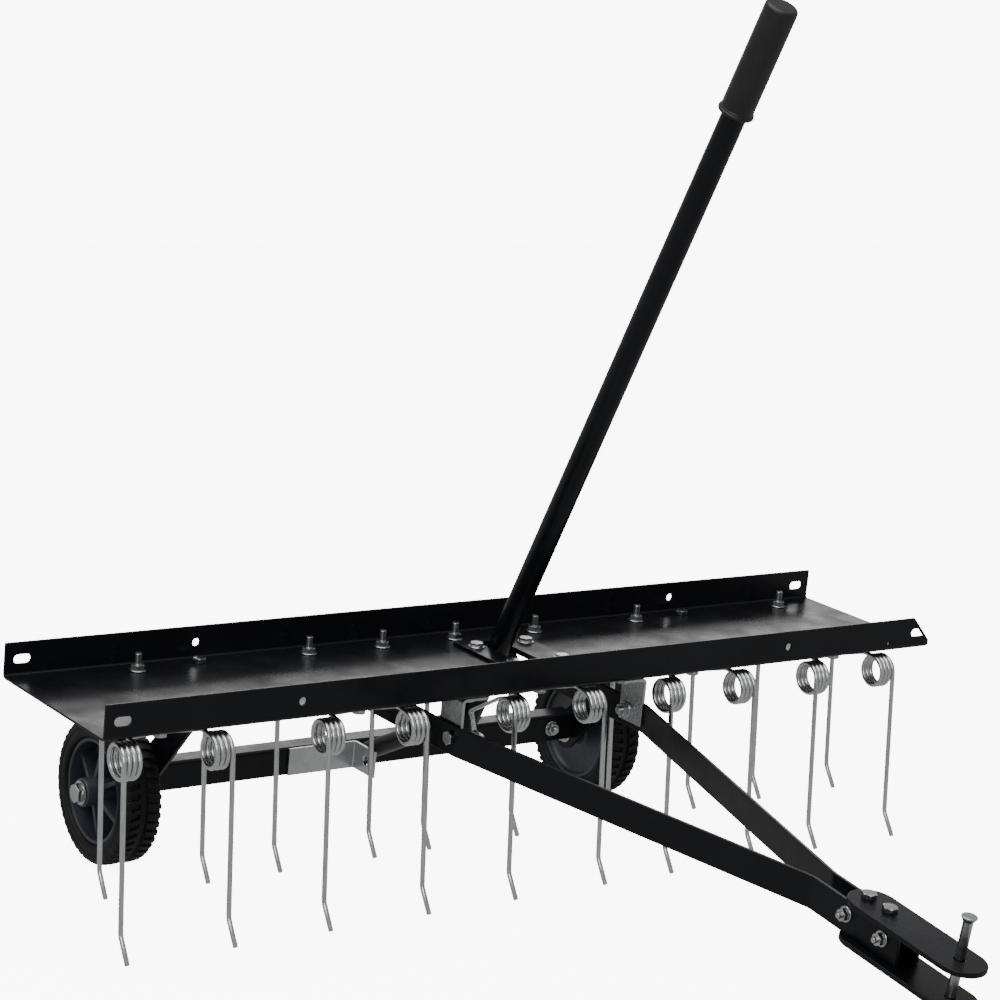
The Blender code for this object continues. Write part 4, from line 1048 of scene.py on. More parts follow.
def handle_slot(context):
    """The outline of the handle's slot in (X, Y)."""
    tray = context.scene.dethatcher_tray
    handle = context.scene.dethatcher_handle
    half = handle.radius + tray.handle_slot_play
    return rounded_rectangle(
        (handle.x - half, tray.handle_slot_front),
        (handle.x + half, tray.handle_slot_rear),
        HANDLE_SLOT_CORNER,
    )


def end_slot(sizes, x):
    """The outline of a flange's end slot."""
    half = (sizes.slot_length - sizes.slot_height) / 2.0
    radius = sizes.slot_height / 2.0
    outline = arc((x + half, sizes.hole_rise), radius, -90.0, 90.0, 12)
    return outline + arc((x - half, sizes.hole_rise), radius, 90.0, 270.0, 12)


def slanted_slot(sizes, x):
    """The end slot beside the slanted corner, cut off parallel to the slant."""
    radius = sizes.slot_height / 2.0
    low = sizes.hole_rise - radius
    high = sizes.hole_rise + radius
    fall = sizes.corner_length / sizes.corner_height
    start = sizes.flange - sizes.corner_height
    edge = TRAY_LENGTH / 2.0 - sizes.slot_strip
    outline = arc((x - sizes.slot_length / 2.0 + radius, sizes.hole_rise),
                  radius, 90.0, 270.0, 12)
    outline.append((edge - (low - start) * fall, low))
    outline.append((edge - (high - start) * fall, high))
    return outline


class DETHATCHER_OT_tray(bpy.types.Operator):
    """Build the pressed tray with its slots and holes"""

    bl_idname = "dethatcher.tray"
    bl_label = "Tray"

    def execute(self, context):
        sizes = context.scene.dethatcher_tray
        half = TRAY_LENGTH / 2.0
        sheet = prism([tray_section(sizes)], "X", -half, half)
        slot_x = half - sizes.slot_inset
        hole_x = half - sizes.hole_inset
        middle = TRAY_DEPTH / 2.0
        cutters = [
            prism([end_slot(sizes, -slot_x)], "Y", -PAST, TRAY_DEPTH + PAST),
            prism([end_slot(sizes, slot_x)], "Y", middle, TRAY_DEPTH + PAST),
            prism([slanted_slot(sizes, slot_x)], "Y", -PAST, middle),
            prism([ring((half - sizes.drain_inset, sizes.drain_rise),
                        sizes.drain_radius, sides=16)], "Y", -PAST, PAST),
            prism([handle_slot(context)], "Z", -PAST, PAST / 2.0),
        ]
        for x in (-hole_x, hole_x):
            cutters.append(prism([ring((x, sizes.hole_rise), sizes.hole_radius)],
                                 "Y", -PAST, TRAY_DEPTH + PAST))
        corner = [
            (half - sizes.corner_length, sizes.flange),
            (half, sizes.flange - sizes.corner_height),
            (half + PAST, sizes.flange - sizes.corner_height),
            (half + PAST, sizes.flange + PAST),
            (half - sizes.corner_length, sizes.flange + PAST),
        ]
        cutters.append(prism([corner], "Y", -PAST, sizes.bend))
        sheet = combined(sheet, "DIFFERENCE", *cutters)
        add_piece("tray_channel", eased(sheet, sizes.edge), "paint", "root", ("tray",))
        return {"FINISHED"}


class DETHATCHER_OT_slot_plate(bpy.types.Operator):
    """Build the plate round the handle's slot and its four bolts"""

    bl_idname = "dethatcher.slot_plate"
    bl_label = "Slot plate"

    def execute(self, context):
        sizes = context.scene.dethatcher_tray
        bolts = context.scene.dethatcher_fasteners
        centre = context.scene.dethatcher_handle.x + sizes.plate_shift
        low = (centre - sizes.plate_width / 2.0,
               sizes.handle_slot_front - sizes.plate_margin)
        high = (centre + sizes.plate_width / 2.0,
                sizes.handle_slot_rear + sizes.plate_margin)
        base = TRAY_SHEET + GAP
        top = base + sizes.plate_sheet
        outline = rounded_rectangle(low, high, PLATE_CORNER)
        plate = prism([outline, handle_slot(context)], "Z", base, top)
        add_piece("slot_cover_plate", eased(plate, PLATE_EASE), "paint", "root",
                  ("slot_plate",))
        middle = (sizes.handle_slot_front + sizes.handle_slot_rear) / 2.0
        heads = []
        for across in (-0.5, 0.5):
            for along in (-0.5, 0.5):
                rim = bolts.corner + bolts.washer_rim
                stack = joined(
                    washer_body(bolts.shank, rim, top, top + bolts.washer),
                    hexagon_body(bolts.corner, top + bolts.washer, top + bolts.head,
                                 ("high",)),
                )
                heads.append(moved(stack, shift(centre + across * sizes.bolts_across,
                                                middle + along * sizes.bolts_along, 0.0)))
        add_piece("slot_plate_bolts", keep_shading(joined(*heads)), "zinc", "root",
                  ("slot_plate",))
        return {"FINISHED"}


# Tines

STEPS_IN_TURN = 28


def coil_point(sizes, side, turns):
    """A point of the coil, counted in turns from the leg, up the front first."""
    aim = math.pi - math.tau * turns
    return Vector((
        side * (sizes.spread / 2.0 - sizes.pitch * turns),
        sizes.coil * math.cos(aim),
        sizes.coil * math.sin(aim),
    ))


def wire_path(sizes, bolts, side, ceiling):
    """One half of a double tine from its tip to the middle of the loop."""
    x = side * sizes.spread / 2.0
    heel = (x, -sizes.coil - sizes.rake, -sizes.leg)
    tip = (x, heel[1] - sizes.tip_reach, heel[2] - sizes.tip_drop)
    shin = (x, -sizes.coil, -sizes.coil / 2.0)
    path = rounded_path([tip, heel, shin], sizes.heel, segments=6)
    path.pop()
    count = round(sizes.turns * STEPS_IN_TURN)
    for step in range(count + 1):
        path.append(coil_point(sizes, side, sizes.turns * step / count))
    start = path[-1] + Vector((0.0, sizes.stub, 0.0))
    height = ceiling - sizes.wire - GAP
    loop = bolts.shank + sizes.wire
    turn_y = sizes.bolt_behind - sizes.bridge_ahead
    bridge = rounded_path([
        path[-1],
        Vector((start.x, turn_y, (start.z + height) / 2.0)),
        Vector((side * loop, turn_y, height)),
        Vector((side * loop, sizes.bolt_behind, height)),
    ], sizes.bridge_bend, segments=6)
    path += bridge[1:]
    for x, y in arc((0.0, sizes.bolt_behind), loop, 0.0, 90.0, 10)[1:]:
        path.append(Vector((side * x, y, height)))
    return path


class DETHATCHER_OT_tines(bpy.types.Operator):
    """Bend the ten double tines, whose coils twist as a leg swings back"""

    bl_idname = "dethatcher.tines"
    bl_label = "Tines"

    def execute(self, context):
        sizes = context.scene.dethatcher_tines
        bolts = context.scene.dethatcher_fasteners
        ceiling = -COILS["front_1"].z
        for name, centre in COILS.items():
            carrier = DECK @ Matrix.Translation(centre)
            for side_name, side in SIDES.items():
                path = wire_path(sizes, bolts, side, ceiling)
                wire = tube(path, sizes.wire, sides=12, blunt=sizes.wire * 0.25)
                self.add_wire(context, f"{name}_{side_name}", name, side, wire, carrier)
        return {"FINISHED"}

    def add_wire(self, context, label, name, side, wire, carrier):
        """Add one half wire in its coil's place and hide the part it stands for."""
        wire.materials.append(bpy.data.materials[FINISH_NAMES["wire"]])
        piece = bpy.data.objects.new(f"spring_wire_{label}", wire)
        piece.matrix_world = carrier
        collection().objects.link(piece)
        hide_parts(f"tine_{label}")
        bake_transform(piece)


class DETHATCHER_OT_tine_bolts(bpy.types.Operator):
    """Bolt the tines' loops to the tray, nuts on top"""

    bl_idname = "dethatcher.tine_bolts"
    bl_label = "Tine bolts"

    def execute(self, context):
        sizes = context.scene.dethatcher_tines
        bolts = context.scene.dethatcher_fasteners
        for name, centre in COILS.items():
            ceiling = -centre.z
            under = ceiling - GAP - sizes.wire * 2.0
            grip = ceiling + TRAY_SHEET + GAP - under
            mesh = screw(grip, bolts.tail)
            carrier = DECK @ Matrix.Translation(
                centre + Vector((0.0, sizes.bolt_behind, under)))
            add_piece(f"loop_bolt_{name}", keep_shading(mesh), "zinc", "root",
                      (f"tine_bolt_{name}",), carrier)
        return {"FINISHED"}


# Drawbars and hangers

def bar_drop_at(sizes, y):
    """How far the sloping bars lie below their level stretch, at one Y."""
    nose = min(y - sizes.nose_bend_y, 0.0)
    ahead = min(y - sizes.bend_y, 0.0) - nose
    return sizes.slope * ahead + NOSE_SLOPE * nose


class DETHATCHER_OT_drawbars(bpy.types.Operator):
    """Build the two drawbars on edge"""

    bl_idname = "dethatcher.drawbars"
    bl_label = "Drawbars"

    def execute(self, context):
        sizes = context.scene.dethatcher_bars
        for name, side in SIDES.items():
            nose = side * sizes.nose_spread / 2.0
            path = rounded_path([
                Vector((side * sizes.spread / 2.0, TRAY_DEPTH - sizes.rear_inset)),
                Vector((side * sizes.spread / 2.0, sizes.bend_y)),
                Vector((nose, sizes.nose_bend_y)),
                Vector((nose, sizes.nose_end_y)),
            ], sizes.bend_radius, segments=12)
            bar = prism([strip(path, sizes.sheet)], "Z", -sizes.drop - sizes.depth,
                        -sizes.drop)
            for vertex in bar.vertices:
                vertex.co.z += bar_drop_at(sizes, vertex.co.y)
            add_piece(f"draw_bar_{name}", eased(bar, sizes.edge), "paint", "root",
                      (f"drawbar_{name}",))
        return {"FINISHED"}


class DETHATCHER_OT_hangers(bpy.types.Operator):
    """Build the four bent plates that hang the drawbars, with their bolts"""

    bl_idname = "dethatcher.hangers"
    bl_label = "Hangers"

    def execute(self, context):
        sizes = context.scene.dethatcher_bars
        places = {"front": sizes.hanger_front, "rear": TRAY_DEPTH - sizes.hanger_rear}
        for name, side in SIDES.items():
            for row, y in places.items():
                ahead = getattr(sizes, f"{name}_bolt") if row == "front" else 0.0
                self.add_hanger(context, f"{row}_{name}", side, y, ahead)
        return {"FINISHED"}

    def add_hanger(self, context, label, side, y, bolt_shift):
        """One bent plate, its bolt through the tray and its bolt through the bar."""
        sizes = context.scene.dethatcher_bars
        bolts = context.scene.dethatcher_fasteners
        sheet = sizes.hanger_sheet
        outer = sizes.spread / 2.0 - sizes.sheet / 2.0 - GAP
        middle = -GAP - sheet / 2.0
        path = rounded_path([
            Vector((outer - sizes.hanger_flange, middle)),
            Vector((outer - sheet / 2.0, middle)),
            Vector((outer - sheet / 2.0, -sizes.hanger_leg)),
        ], sizes.hanger_bend + sheet / 2.0, segments=6)
        section = [(side * x, z) for x, z in strip(path, sheet)]
        plate = prism([section], "Y", y - sizes.hanger_width / 2.0,
                      y + sizes.hanger_width / 2.0)
        node_name = f"hanger_{label}"
        add_piece(f"hanger_plate_{label}", eased(plate, PLATE_EASE), "zinc", "root",
                  (node_name,))
        floor_x = side * (outer - sheet - sizes.hanger_flange / 2.0)
        floor_grip = sheet + GAP + TRAY_SHEET + GAP
        floor = moved(screw(floor_grip, bolts.tail),
                      shift(floor_x, y, -GAP - sheet))
        head_x = sizes.spread / 2.0 + sizes.sheet / 2.0 + GAP
        height = -sizes.drop - sizes.depth * sizes.bolt_share
        cross = moved(screw(head_x - outer + sheet, short_tail(bolts)), turn(90.0, "Y"))
        if side > 0.0:
            cross = moved(cross, turn(180.0, "Z"))
        cross = moved(cross, shift(side * head_x, y + bolt_shift, height))
        add_piece(f"hanger_bolts_{label}", keep_shading(joined(floor, cross)), "zinc",
                  "root", (node_name,))


# Hitch

SPACER_CORNER = 0.002
SPACER_INNER_CORNER = 0.001
SPACER_EASE = 0.0003
PIN_EDGE = 0.0008
CLIP_BEND = 0.006
CLIP_BLUNT = 0.2
CLIP_LEG_STRAIGHT = 0.9

# The pin's small edges, and its foot's rim and tip as shares of the pin's radius
RIM_EDGE = 0.0002
FINE_EDGE = 0.0003
CONE_EDGE = 0.0004
FOOT_RIM = 0.55
FOOT_TIP = 0.45


def hitch_frame(context):
    """The frame of the sloping nose, with its origin at the rear strap bolt."""
    bars = context.scene.dethatcher_bars
    hitch = context.scene.dethatcher_hitch
    drop = -bars.drop - bars.depth / 2.0 + bar_drop_at(bars, hitch.centre_y)
    return (DECK @ shift(0.0, hitch.centre_y, drop)
            @ Matrix.Rotation(math.atan(NOSE_SLOPE), 4, "X"))


class DETHATCHER_OT_hitch_straps(bpy.types.Operator):
    """Build the two straps, their bolts and the box between the drawbars"""

    bl_idname = "dethatcher.hitch_straps"
    bl_label = "Hitch straps"

    def execute(self, context):
        sizes = context.scene.dethatcher_hitch
        bars = context.scene.dethatcher_bars
        bolts = context.scene.dethatcher_fasteners
        carrier = hitch_frame(context)
        half = bars.depth / 2.0 + GAP
        round_end = sizes.strap_width / 2.0
        outline = arc((0.0, sizes.strap_front + round_end), round_end, 180.0, 360.0, 28)
        outline += arc((0.0, sizes.strap_rear - round_end), round_end, 0.0, 180.0, 28)
        hole = ring((0.0, sizes.pin_y), sizes.pin + PLAY)
        for label, low in (("upper", half), ("lower", -half - sizes.strap_sheet)):
            strap = prism([outline, hole], "Z", low, low + sizes.strap_sheet)
            add_piece(f"jaw_strap_{label}", eased(strap, sizes.strap_edge, segments=3), "paint",
                      "root", (f"hitch_strap_{label}",), carrier)
        face = half + sizes.strap_sheet + GAP
        for number in (1, 2):
            y = sizes.bolt_rear - sizes.bolt_gap * (number - 1)
            mesh = moved(screw(face * 2.0, short_tail(bolts)), turn(180.0, "X"),
                         shift(0.0, y, face))
            add_piece(f"jaw_bolt_{number}", keep_shading(mesh), "zinc", "root",
                      (f"strap_bolt_{number}",), carrier)
        self.add_spacer(context, carrier)
        return {"FINISHED"}

    def add_spacer(self, context, carrier):
        """The box between the bars' noses and the two bolts across them."""
        sizes = context.scene.dethatcher_hitch
        bars = context.scene.dethatcher_bars
        bolts = context.scene.dethatcher_fasteners
        wide = bars.nose_spread / 2.0 - bars.sheet / 2.0 - GAP
        tall = bars.depth / 2.0
        wall = sizes.spacer_wall
        outer = rounded_rectangle((-wide, -tall), (wide, tall), SPACER_CORNER)
        inner = rounded_rectangle((-wide + wall, -tall + wall),
                                  (wide - wall, tall - wall), SPACER_INNER_CORNER)
        box = prism([outer, inner], "Y", sizes.spacer_front, sizes.spacer_rear)
        add_piece("nose_spacer", eased(box, SPACER_EASE), "paint", "root",
                  ("hitch_spacer",), carrier)
        face = bars.nose_spread / 2.0 + bars.sheet / 2.0 + GAP
        screws = []
        for y in (sizes.cross_rear, sizes.cross_front):
            mesh = screw(face * 2.0, short_tail(bolts), corner=sizes.cross_corner,
                         radius=sizes.cross_radius)
            screws.append(moved(mesh, turn(90.0, "Y"), turn(180.0, "Z"),
                                shift(face, y, sizes.cross_rise)))
        add_piece("nose_cross_bolts", keep_shading(joined(*screws)), "zinc", "root",
                  ("hitch_spacer",), carrier)


class DETHATCHER_OT_hitch_pin(bpy.types.Operator):
    """Build the hitch pin and its hairpin clip"""

    bl_idname = "dethatcher.hitch_pin"
    bl_label = "Hitch pin"

    def execute(self, context):
        sizes = context.scene.dethatcher_hitch
        bars = context.scene.dethatcher_bars
        carrier = hitch_frame(context)
        top = bars.depth / 2.0 + GAP + sizes.strap_sheet
        rise = sizes.pin_rise
        head = sizes.pin_head
        neck = rise - sizes.pin_head_height
        profile = [(0.0, rise)]
        profile += arc((head - PIN_EDGE, rise - PIN_EDGE), PIN_EDGE, 90.0, 0.0, 5)
        profile += [
            (head, neck + RIM_EDGE),
            (head - FINE_EDGE, neck),
            (sizes.pin + FINE_EDGE, neck - sizes.pin_cone),
            (sizes.pin, neck - sizes.pin_cone - CONE_EDGE),
            (sizes.pin, -sizes.pin_foot + sizes.pin / 2.0),
            (sizes.pin * FOOT_RIM, -sizes.pin_foot + FINE_EDGE),
            (sizes.pin * FOOT_TIP, -sizes.pin_foot),
            (0.0, -sizes.pin_foot),
        ]
        pin = moved(turned(profile), shift(0.0, sizes.pin_y, 0.0))
        clip_z = -top - sizes.clip_drop
        bore = prism([ring((sizes.pin_y, clip_z), sizes.clip + PLAY, sides=16)], "X",
                     -PAST, PAST)
        pin = smoothed(combined(pin, "DIFFERENCE", bore), limit=38.0)
        add_piece("jaw_pin", pin, "zinc", "hitch_pin", ("hitch_pin",), carrier)
        clip = tube(self.clip_path(sizes, clip_z), sizes.clip, sides=10,
                    blunt=sizes.clip * CLIP_BLUNT)
        add_piece("hairpin", clip, "zinc", "hitch_clip", ("hitch_clip",), carrier)
        return {"FINISHED"}

    def clip_path(self, sizes, height):
        """The clip's wire: straight through the pin, round, and back over it."""
        pin_y = sizes.pin_y
        beside = pin_y + sizes.pin + sizes.clip + PLAY
        eye = (beside - pin_y) / 2.0
        bend_x = sizes.clip_reach - eye
        leg = sizes.clip_leg
        path = [Vector((-leg, pin_y, height)), Vector((0.0, pin_y, height))]
        for x, y in arc((bend_x, pin_y + eye), eye, -90.0, 90.0, 16):
            path.append(Vector((x, y, height)))
        path += rounded_path([
            Vector((leg * CLIP_LEG_STRAIGHT, beside, height)),
            Vector((leg / 2.0, beside, height)),
            Vector((-leg / 2.0, beside, height)),
            Vector((-leg, beside + sizes.clip * 2.0, height)),
        ], CLIP_BEND, segments=5)
        return path


# Lift

BRACKET_OVERLAP = 0.002
HINGE_PIN_TAIL = 0.001
BRACKET_BOLT_TAIL = 0.002
ARM_EASE = 0.0006
AXLE_WASHER_RIM = 0.002
AXLE_NUT_THINNER = 0.0015
AXLE_PITCH = 0.00175
AXLE_THREAD = 0.0008
BEAM_HOLE = 0.004
BEAM_EASE = 0.0005
TAB_HOLE = 0.005
TAB_HOLE_ALONG = 0.6
CENTRE_ARM_EDGE = 0.0012
FOOT_PIN_PAST = 0.004
FOOT_PIN_EDGE = 0.0008


class DETHATCHER_OT_hinge_brackets(bpy.types.Operator):
    """Build the two angles that carry the arms' pins under the tray"""

    bl_idname = "dethatcher.hinge_brackets"
    bl_label = "Hinge brackets"

    def execute(self, context):
        sizes = context.scene.dethatcher_lift
        wheels = context.scene.dethatcher_wheels
        tray = context.scene.dethatcher_tray
        sheet = sizes.bracket_sheet
        inner = sizes.arm_inner + sizes.arm_sheet + GAP
        rear = TRAY_DEPTH - tray.bend + BRACKET_OVERLAP
        for name, side in SIDES.items():
            path = rounded_path([
                Vector((inner + sizes.bracket_flange, -GAP - sheet / 2.0)),
                Vector((inner + sheet / 2.0, -GAP - sheet / 2.0)),
                Vector((inner + sheet / 2.0, -sizes.bracket_leg)),
            ], sheet, segments=6)
            section = [(side * x, z) for x, z in strip(path, sheet)]
            plate = prism([section], "Y", rear - sizes.bracket_depth, rear)
            add_piece(f"hinge_angle_{name}", eased(plate, PLATE_EASE), "zinc", "root",
                      (f"hinge_bracket_{name}",))
            pin = moved(screw(sheet + sizes.arm_sheet + 2.0 * GAP, HINGE_PIN_TAIL,
                              corner=wheels.axle_corner, radius=sizes.hinge_pin),
                        turn(90.0, "Y"))
            if side < 0.0:
                pin = moved(pin, shift(-inner - sheet, HINGE.y, HINGE.z))
            else:
                pin = moved(pin, turn(180.0, "Z"), shift(inner + sheet, HINGE.y, HINGE.z))
            floor = moved(screw(sheet + TRAY_SHEET + 2.0 * GAP, BRACKET_BOLT_TAIL),
                          turn(180.0, "X"),
                          shift(side * (inner + sheet + sizes.bracket_bolt_x),
                                HINGE.y - sizes.bracket_bolt_y, TRAY_SHEET + GAP))
            add_piece(f"hinge_bolts_{name}", keep_shading(joined(pin, floor)), "zinc",
                      "root", (f"hinge_bracket_{name}",))
        return {"FINISHED"}


class DETHATCHER_OT_side_arms(bpy.types.Operator):
    """Build the two arms from the hinge to the wheels, with the axle bolts"""

    bl_idname = "dethatcher.side_arms"
    bl_label = "Side arms"

    def execute(self, context):
        sizes = context.scene.dethatcher_lift
        wheels = context.scene.dethatcher_wheels
        axle = AXLES["right"]
        outline = link((HINGE.y, HINGE.z), sizes.arm_hinge, (axle.y, axle.z),
                       sizes.arm_axle)
        eye = ring((HINGE.y, HINGE.z), sizes.hinge_pin + PLAY)
        for name, side in SIDES.items():
            low, high = sorted((side * sizes.arm_inner,
                                side * (sizes.arm_inner + sizes.arm_sheet)))
            plate = prism([outline, eye], "X", low, high)
            node_name = f"side_arm_{name}"
            add_piece(f"wheel_arm_{name}", eased(plate, ARM_EASE), "paint", "lift",
                      (node_name,))
            grip = (abs(AXLES[name].x) + wheels.width / 2.0 + wheels.hub_outboard
                    + wheels.play - sizes.arm_inner)
            add_piece(f"axle_bolt_{name}", self.axle_bolt(context, side, grip, axle),
                      "zinc", "lift", (node_name,))
        return {"FINISHED"}

    def axle_bolt(self, context, side, grip, axle):
        """The bolt through hub and arm: head outboard, nut and thread inboard."""
        sizes = context.scene.dethatcher_lift
        wheels = context.scene.dethatcher_wheels
        bolts = context.scene.dethatcher_fasteners
        rim = wheels.axle_corner + AXLE_WASHER_RIM
        head = joined(
            washer_body(wheels.axle, rim, 0.0, bolts.washer),
            hexagon_body(wheels.axle_corner, bolts.washer, wheels.axle_head, ("high",)),
        )
        head = moved(head, shift(0.0, 0.0, grip))
        shank = turned([(0.0, grip), (wheels.axle, grip), (wheels.axle, 0.0), (0.0, 0.0)])
        nut = joined(
            washer_body(wheels.axle, rim, -bolts.washer, 0.0),
            hexagon_body(wheels.axle_corner, AXLE_NUT_THINNER - wheels.axle_head,
                         -bolts.washer, ("low", "high")),
        )
        thread = moved(thread_body(wheels.axle, 0.0, wheels.axle_head, AXLE_PITCH,
                                   AXLE_THREAD), turn(180.0, "X"))
        whole = moved(keep_shading(joined(head, shank, nut, thread)), turn(90.0, "Y"))
        if side < 0.0:
            whole = moved(whole, turn(180.0, "Z"))
        return moved(whole, shift(side * sizes.arm_inner, axle.y, axle.z))


class DETHATCHER_OT_beam(bpy.types.Operator):
    """Build the beam between the arms, the centre arm and their bracket"""

    bl_idname = "dethatcher.beam"
    bl_label = "Beam"

    def execute(self, context):
        sizes = context.scene.dethatcher_lift
        axle = AXLES["right"]
        front = axle.y - sizes.beam_ahead
        middle = axle.z + sizes.beam_rise
        top = middle + sizes.beam_height / 2.0
        half_sheet = sizes.beam_sheet / 2.0
        path = rounded_path([
            Vector((front + half_sheet, top - sizes.beam_height)),
            Vector((front + half_sheet, top - half_sheet)),
            Vector((front + sizes.beam_leg, top - half_sheet)),
        ], sizes.beam_sheet, segments=6)
        reach = sizes.arm_inner - GAP
        beam = prism([strip(path, sizes.beam_sheet)], "X", -reach, reach)
        holes = [prism([ring((x, middle), BEAM_HOLE)], "Y", front - PAST,
                       front + PAST / 2.0) for x in sizes.beam_holes]
        beam = combined(beam, "DIFFERENCE", *holes)
        add_piece("lift_beam", eased(beam, BEAM_EASE), "paint", "lift", ("axle_beam",))
        self.add_bolt(context, front, middle)
        self.add_centre_arm(context, front - GAP, middle)
        self.add_bracket(context, front - GAP, middle)
        return {"FINISHED"}

    def add_bolt(self, context, front, middle):
        """The small bolt through the beam near its right end, its nut to the front."""
        sizes = context.scene.dethatcher_lift
        bolts = context.scene.dethatcher_fasteners
        back = front + sizes.beam_sheet + GAP
        mesh = moved(screw(sizes.beam_sheet + GAP * 2.0, short_tail(bolts)),
                     turn(90.0, "X"), shift(sizes.beam_bolt, back, middle))
        add_piece("beam_bolt", keep_shading(mesh), "zinc", "lift")

    def add_centre_arm(self, context, face, middle):
        """The tube from the beam's face to the handle's foot, and the foot's pin."""
        sizes = context.scene.dethatcher_lift
        handle = context.scene.dethatcher_handle
        x = centre_arm_x(context)
        foot = handle_foot(context)
        run = Vector((face, middle)) - foot
        radius = sizes.centre_radius
        low = -sizes.centre_past
        profile = [(0.0, low), (radius - CENTRE_ARM_EDGE, low)]
        profile += [(radius, low + CENTRE_ARM_EDGE)]
        profile += [(radius, run.length + radius), (0.0, run.length + radius)]
        aim = math.degrees(math.atan2(-run.x, run.y))
        arm = moved(turned(profile), turn(aim, "X"), shift(x, foot.x, foot.y))
        reach = radius * 2.0
        behind = prism([[(face, middle - reach), (face + reach, middle - reach),
                         (face + reach, middle + reach), (face, middle + reach)]],
                       "X", x - reach, x + reach)
        arm = smoothed(combined(arm, "DIFFERENCE", behind), limit=35.0)
        add_piece("centre_link", arm, "paint", "lift", ("centre_arm",))
        end = handle.x + handle.radius + FOOT_PIN_PAST
        shape = [
            (0.0, x),
            (handle.foot_pin, x),
            (handle.foot_pin, end - FOOT_PIN_EDGE),
            (handle.foot_pin - FOOT_PIN_EDGE, end),
            (0.0, end),
        ]
        pin = moved(smoothed(turned(shape), limit=40.0), turn(90.0, "Y"),
                    shift(0.0, foot.x, foot.y))
        add_piece("foot_pin", pin, "zinc", "lift", ("centre_arm",))

    def add_bracket(self, context, face, middle):
        """The bent plate from the beam to the centre arm."""
        sizes = context.scene.dethatcher_lift
        side_x = centre_arm_x(context) - sizes.centre_radius - GAP
        half = sizes.tab_sheet / 2.0
        path = rounded_path([
            Vector((side_x - sizes.tab_width, face - half)),
            Vector((side_x - half, face - half)),
            Vector((side_x - half, face - sizes.tab_reach)),
        ], sizes.tab_sheet, segments=6)
        plate = prism([strip(path, sizes.tab_sheet)], "Z",
                      middle - sizes.beam_height / 2.0, middle + sizes.beam_height / 2.0)
        hole = ring((face - sizes.tab_reach * TAB_HOLE_ALONG, middle), TAB_HOLE)
        plate = combined(plate, "DIFFERENCE",
                         prism([hole], "X", side_x - PAST, side_x + PAST))
        add_piece("beam_plate", eased(plate, PLATE_EASE), "zinc", "lift", ("beam_bracket",))


# Handle

TUBE_EDGE = 0.0006
GRIP_CROWN = 0.004
GRIP_FLARE = 0.0025
COLLAR_EDGE = 0.002
STOP_EASE = 0.0006


def handle_foot(context):
    """The pin at the handle's foot, as a (Y, Z) point of the deck frame."""
    sizes = context.scene.dethatcher_handle
    behind = sizes.foot_drop * math.tan(sizes.lean)
    return Vector((sizes.crossing_y + behind, -sizes.foot_drop))


def centre_arm_x(context):
    """The middle of the centre arm's tube, left of the handle."""
    handle = context.scene.dethatcher_handle
    lift = context.scene.dethatcher_lift
    return handle.x - handle.radius - lift.centre_gap - lift.centre_radius


def handle_frame(context):
    """The frame of the handle: its axis up Z from the foot's pin."""
    sizes = context.scene.dethatcher_handle
    foot = handle_foot(context)
    return (DECK @ shift(sizes.x, foot.x, foot.y)
            @ Matrix.Rotation(sizes.lean, 4, "X"))


class DETHATCHER_OT_handle(bpy.types.Operator):
    """Build the handle's tube and its rubber grip"""

    bl_idname = "dethatcher.handle"
    bl_label = "Handle"

    def execute(self, context):
        sizes = context.scene.dethatcher_handle
        carrier = handle_frame(context)
        low = -sizes.foot_end
        top = sizes.grip_start + sizes.into_grip
        radius = sizes.radius
        bore = radius - sizes.wall
        profile = [
            (bore, top),
            (radius, top),
            (radius, low + TUBE_EDGE),
            (radius - TUBE_EDGE, low),
            (bore, low),
        ]
        pipe = turned(profile, closed=True)
        hole = prism([ring((0.0, 0.0), sizes.foot_pin + PLAY)], "X", -PAST, PAST)
        pipe = smoothed(combined(pipe, "DIFFERENCE", hole), limit=35.0)
        add_piece("lever_tube", pipe, "paint", "lift", ("lift_handle",), carrier)
        self.add_grip(context, carrier)
        return {"FINISHED"}

    def add_grip(self, context, carrier):
        """The sleeve with its closed crown and the collar at its lower end."""
        sizes = context.scene.dethatcher_handle
        radius = sizes.grip_radius
        top = sizes.grip_length
        foot = sizes.collar
        rim = sizes.collar_radius - COLLAR_EDGE
        bore = sizes.radius + PLAY
        end = sizes.into_grip + PLAY
        profile = [(0.0, top)]
        profile += arc((radius - GRIP_CROWN, top - GRIP_CROWN), GRIP_CROWN, 90.0, 0.0, 8)
        profile += [(radius, foot + GRIP_CROWN)]
        profile += arc((radius + GRIP_FLARE, foot + GRIP_FLARE), GRIP_FLARE,
                       180.0, 225.0, 3)
        profile += arc((rim, foot - COLLAR_EDGE), COLLAR_EDGE, 60.0, 0.0, 5)
        profile += arc((rim, COLLAR_EDGE), COLLAR_EDGE, 0.0, -90.0, 6)
        profile += [(bore, 0.0), (bore, end), (0.0, end)]
        grip = moved(smoothed(turned(profile, steps=64), limit=50.0),
                     shift(0.0, 0.0, sizes.grip_start))
        add_piece("grip_sleeve", grip, "grip", "lift", ("handle_grip",), carrier)


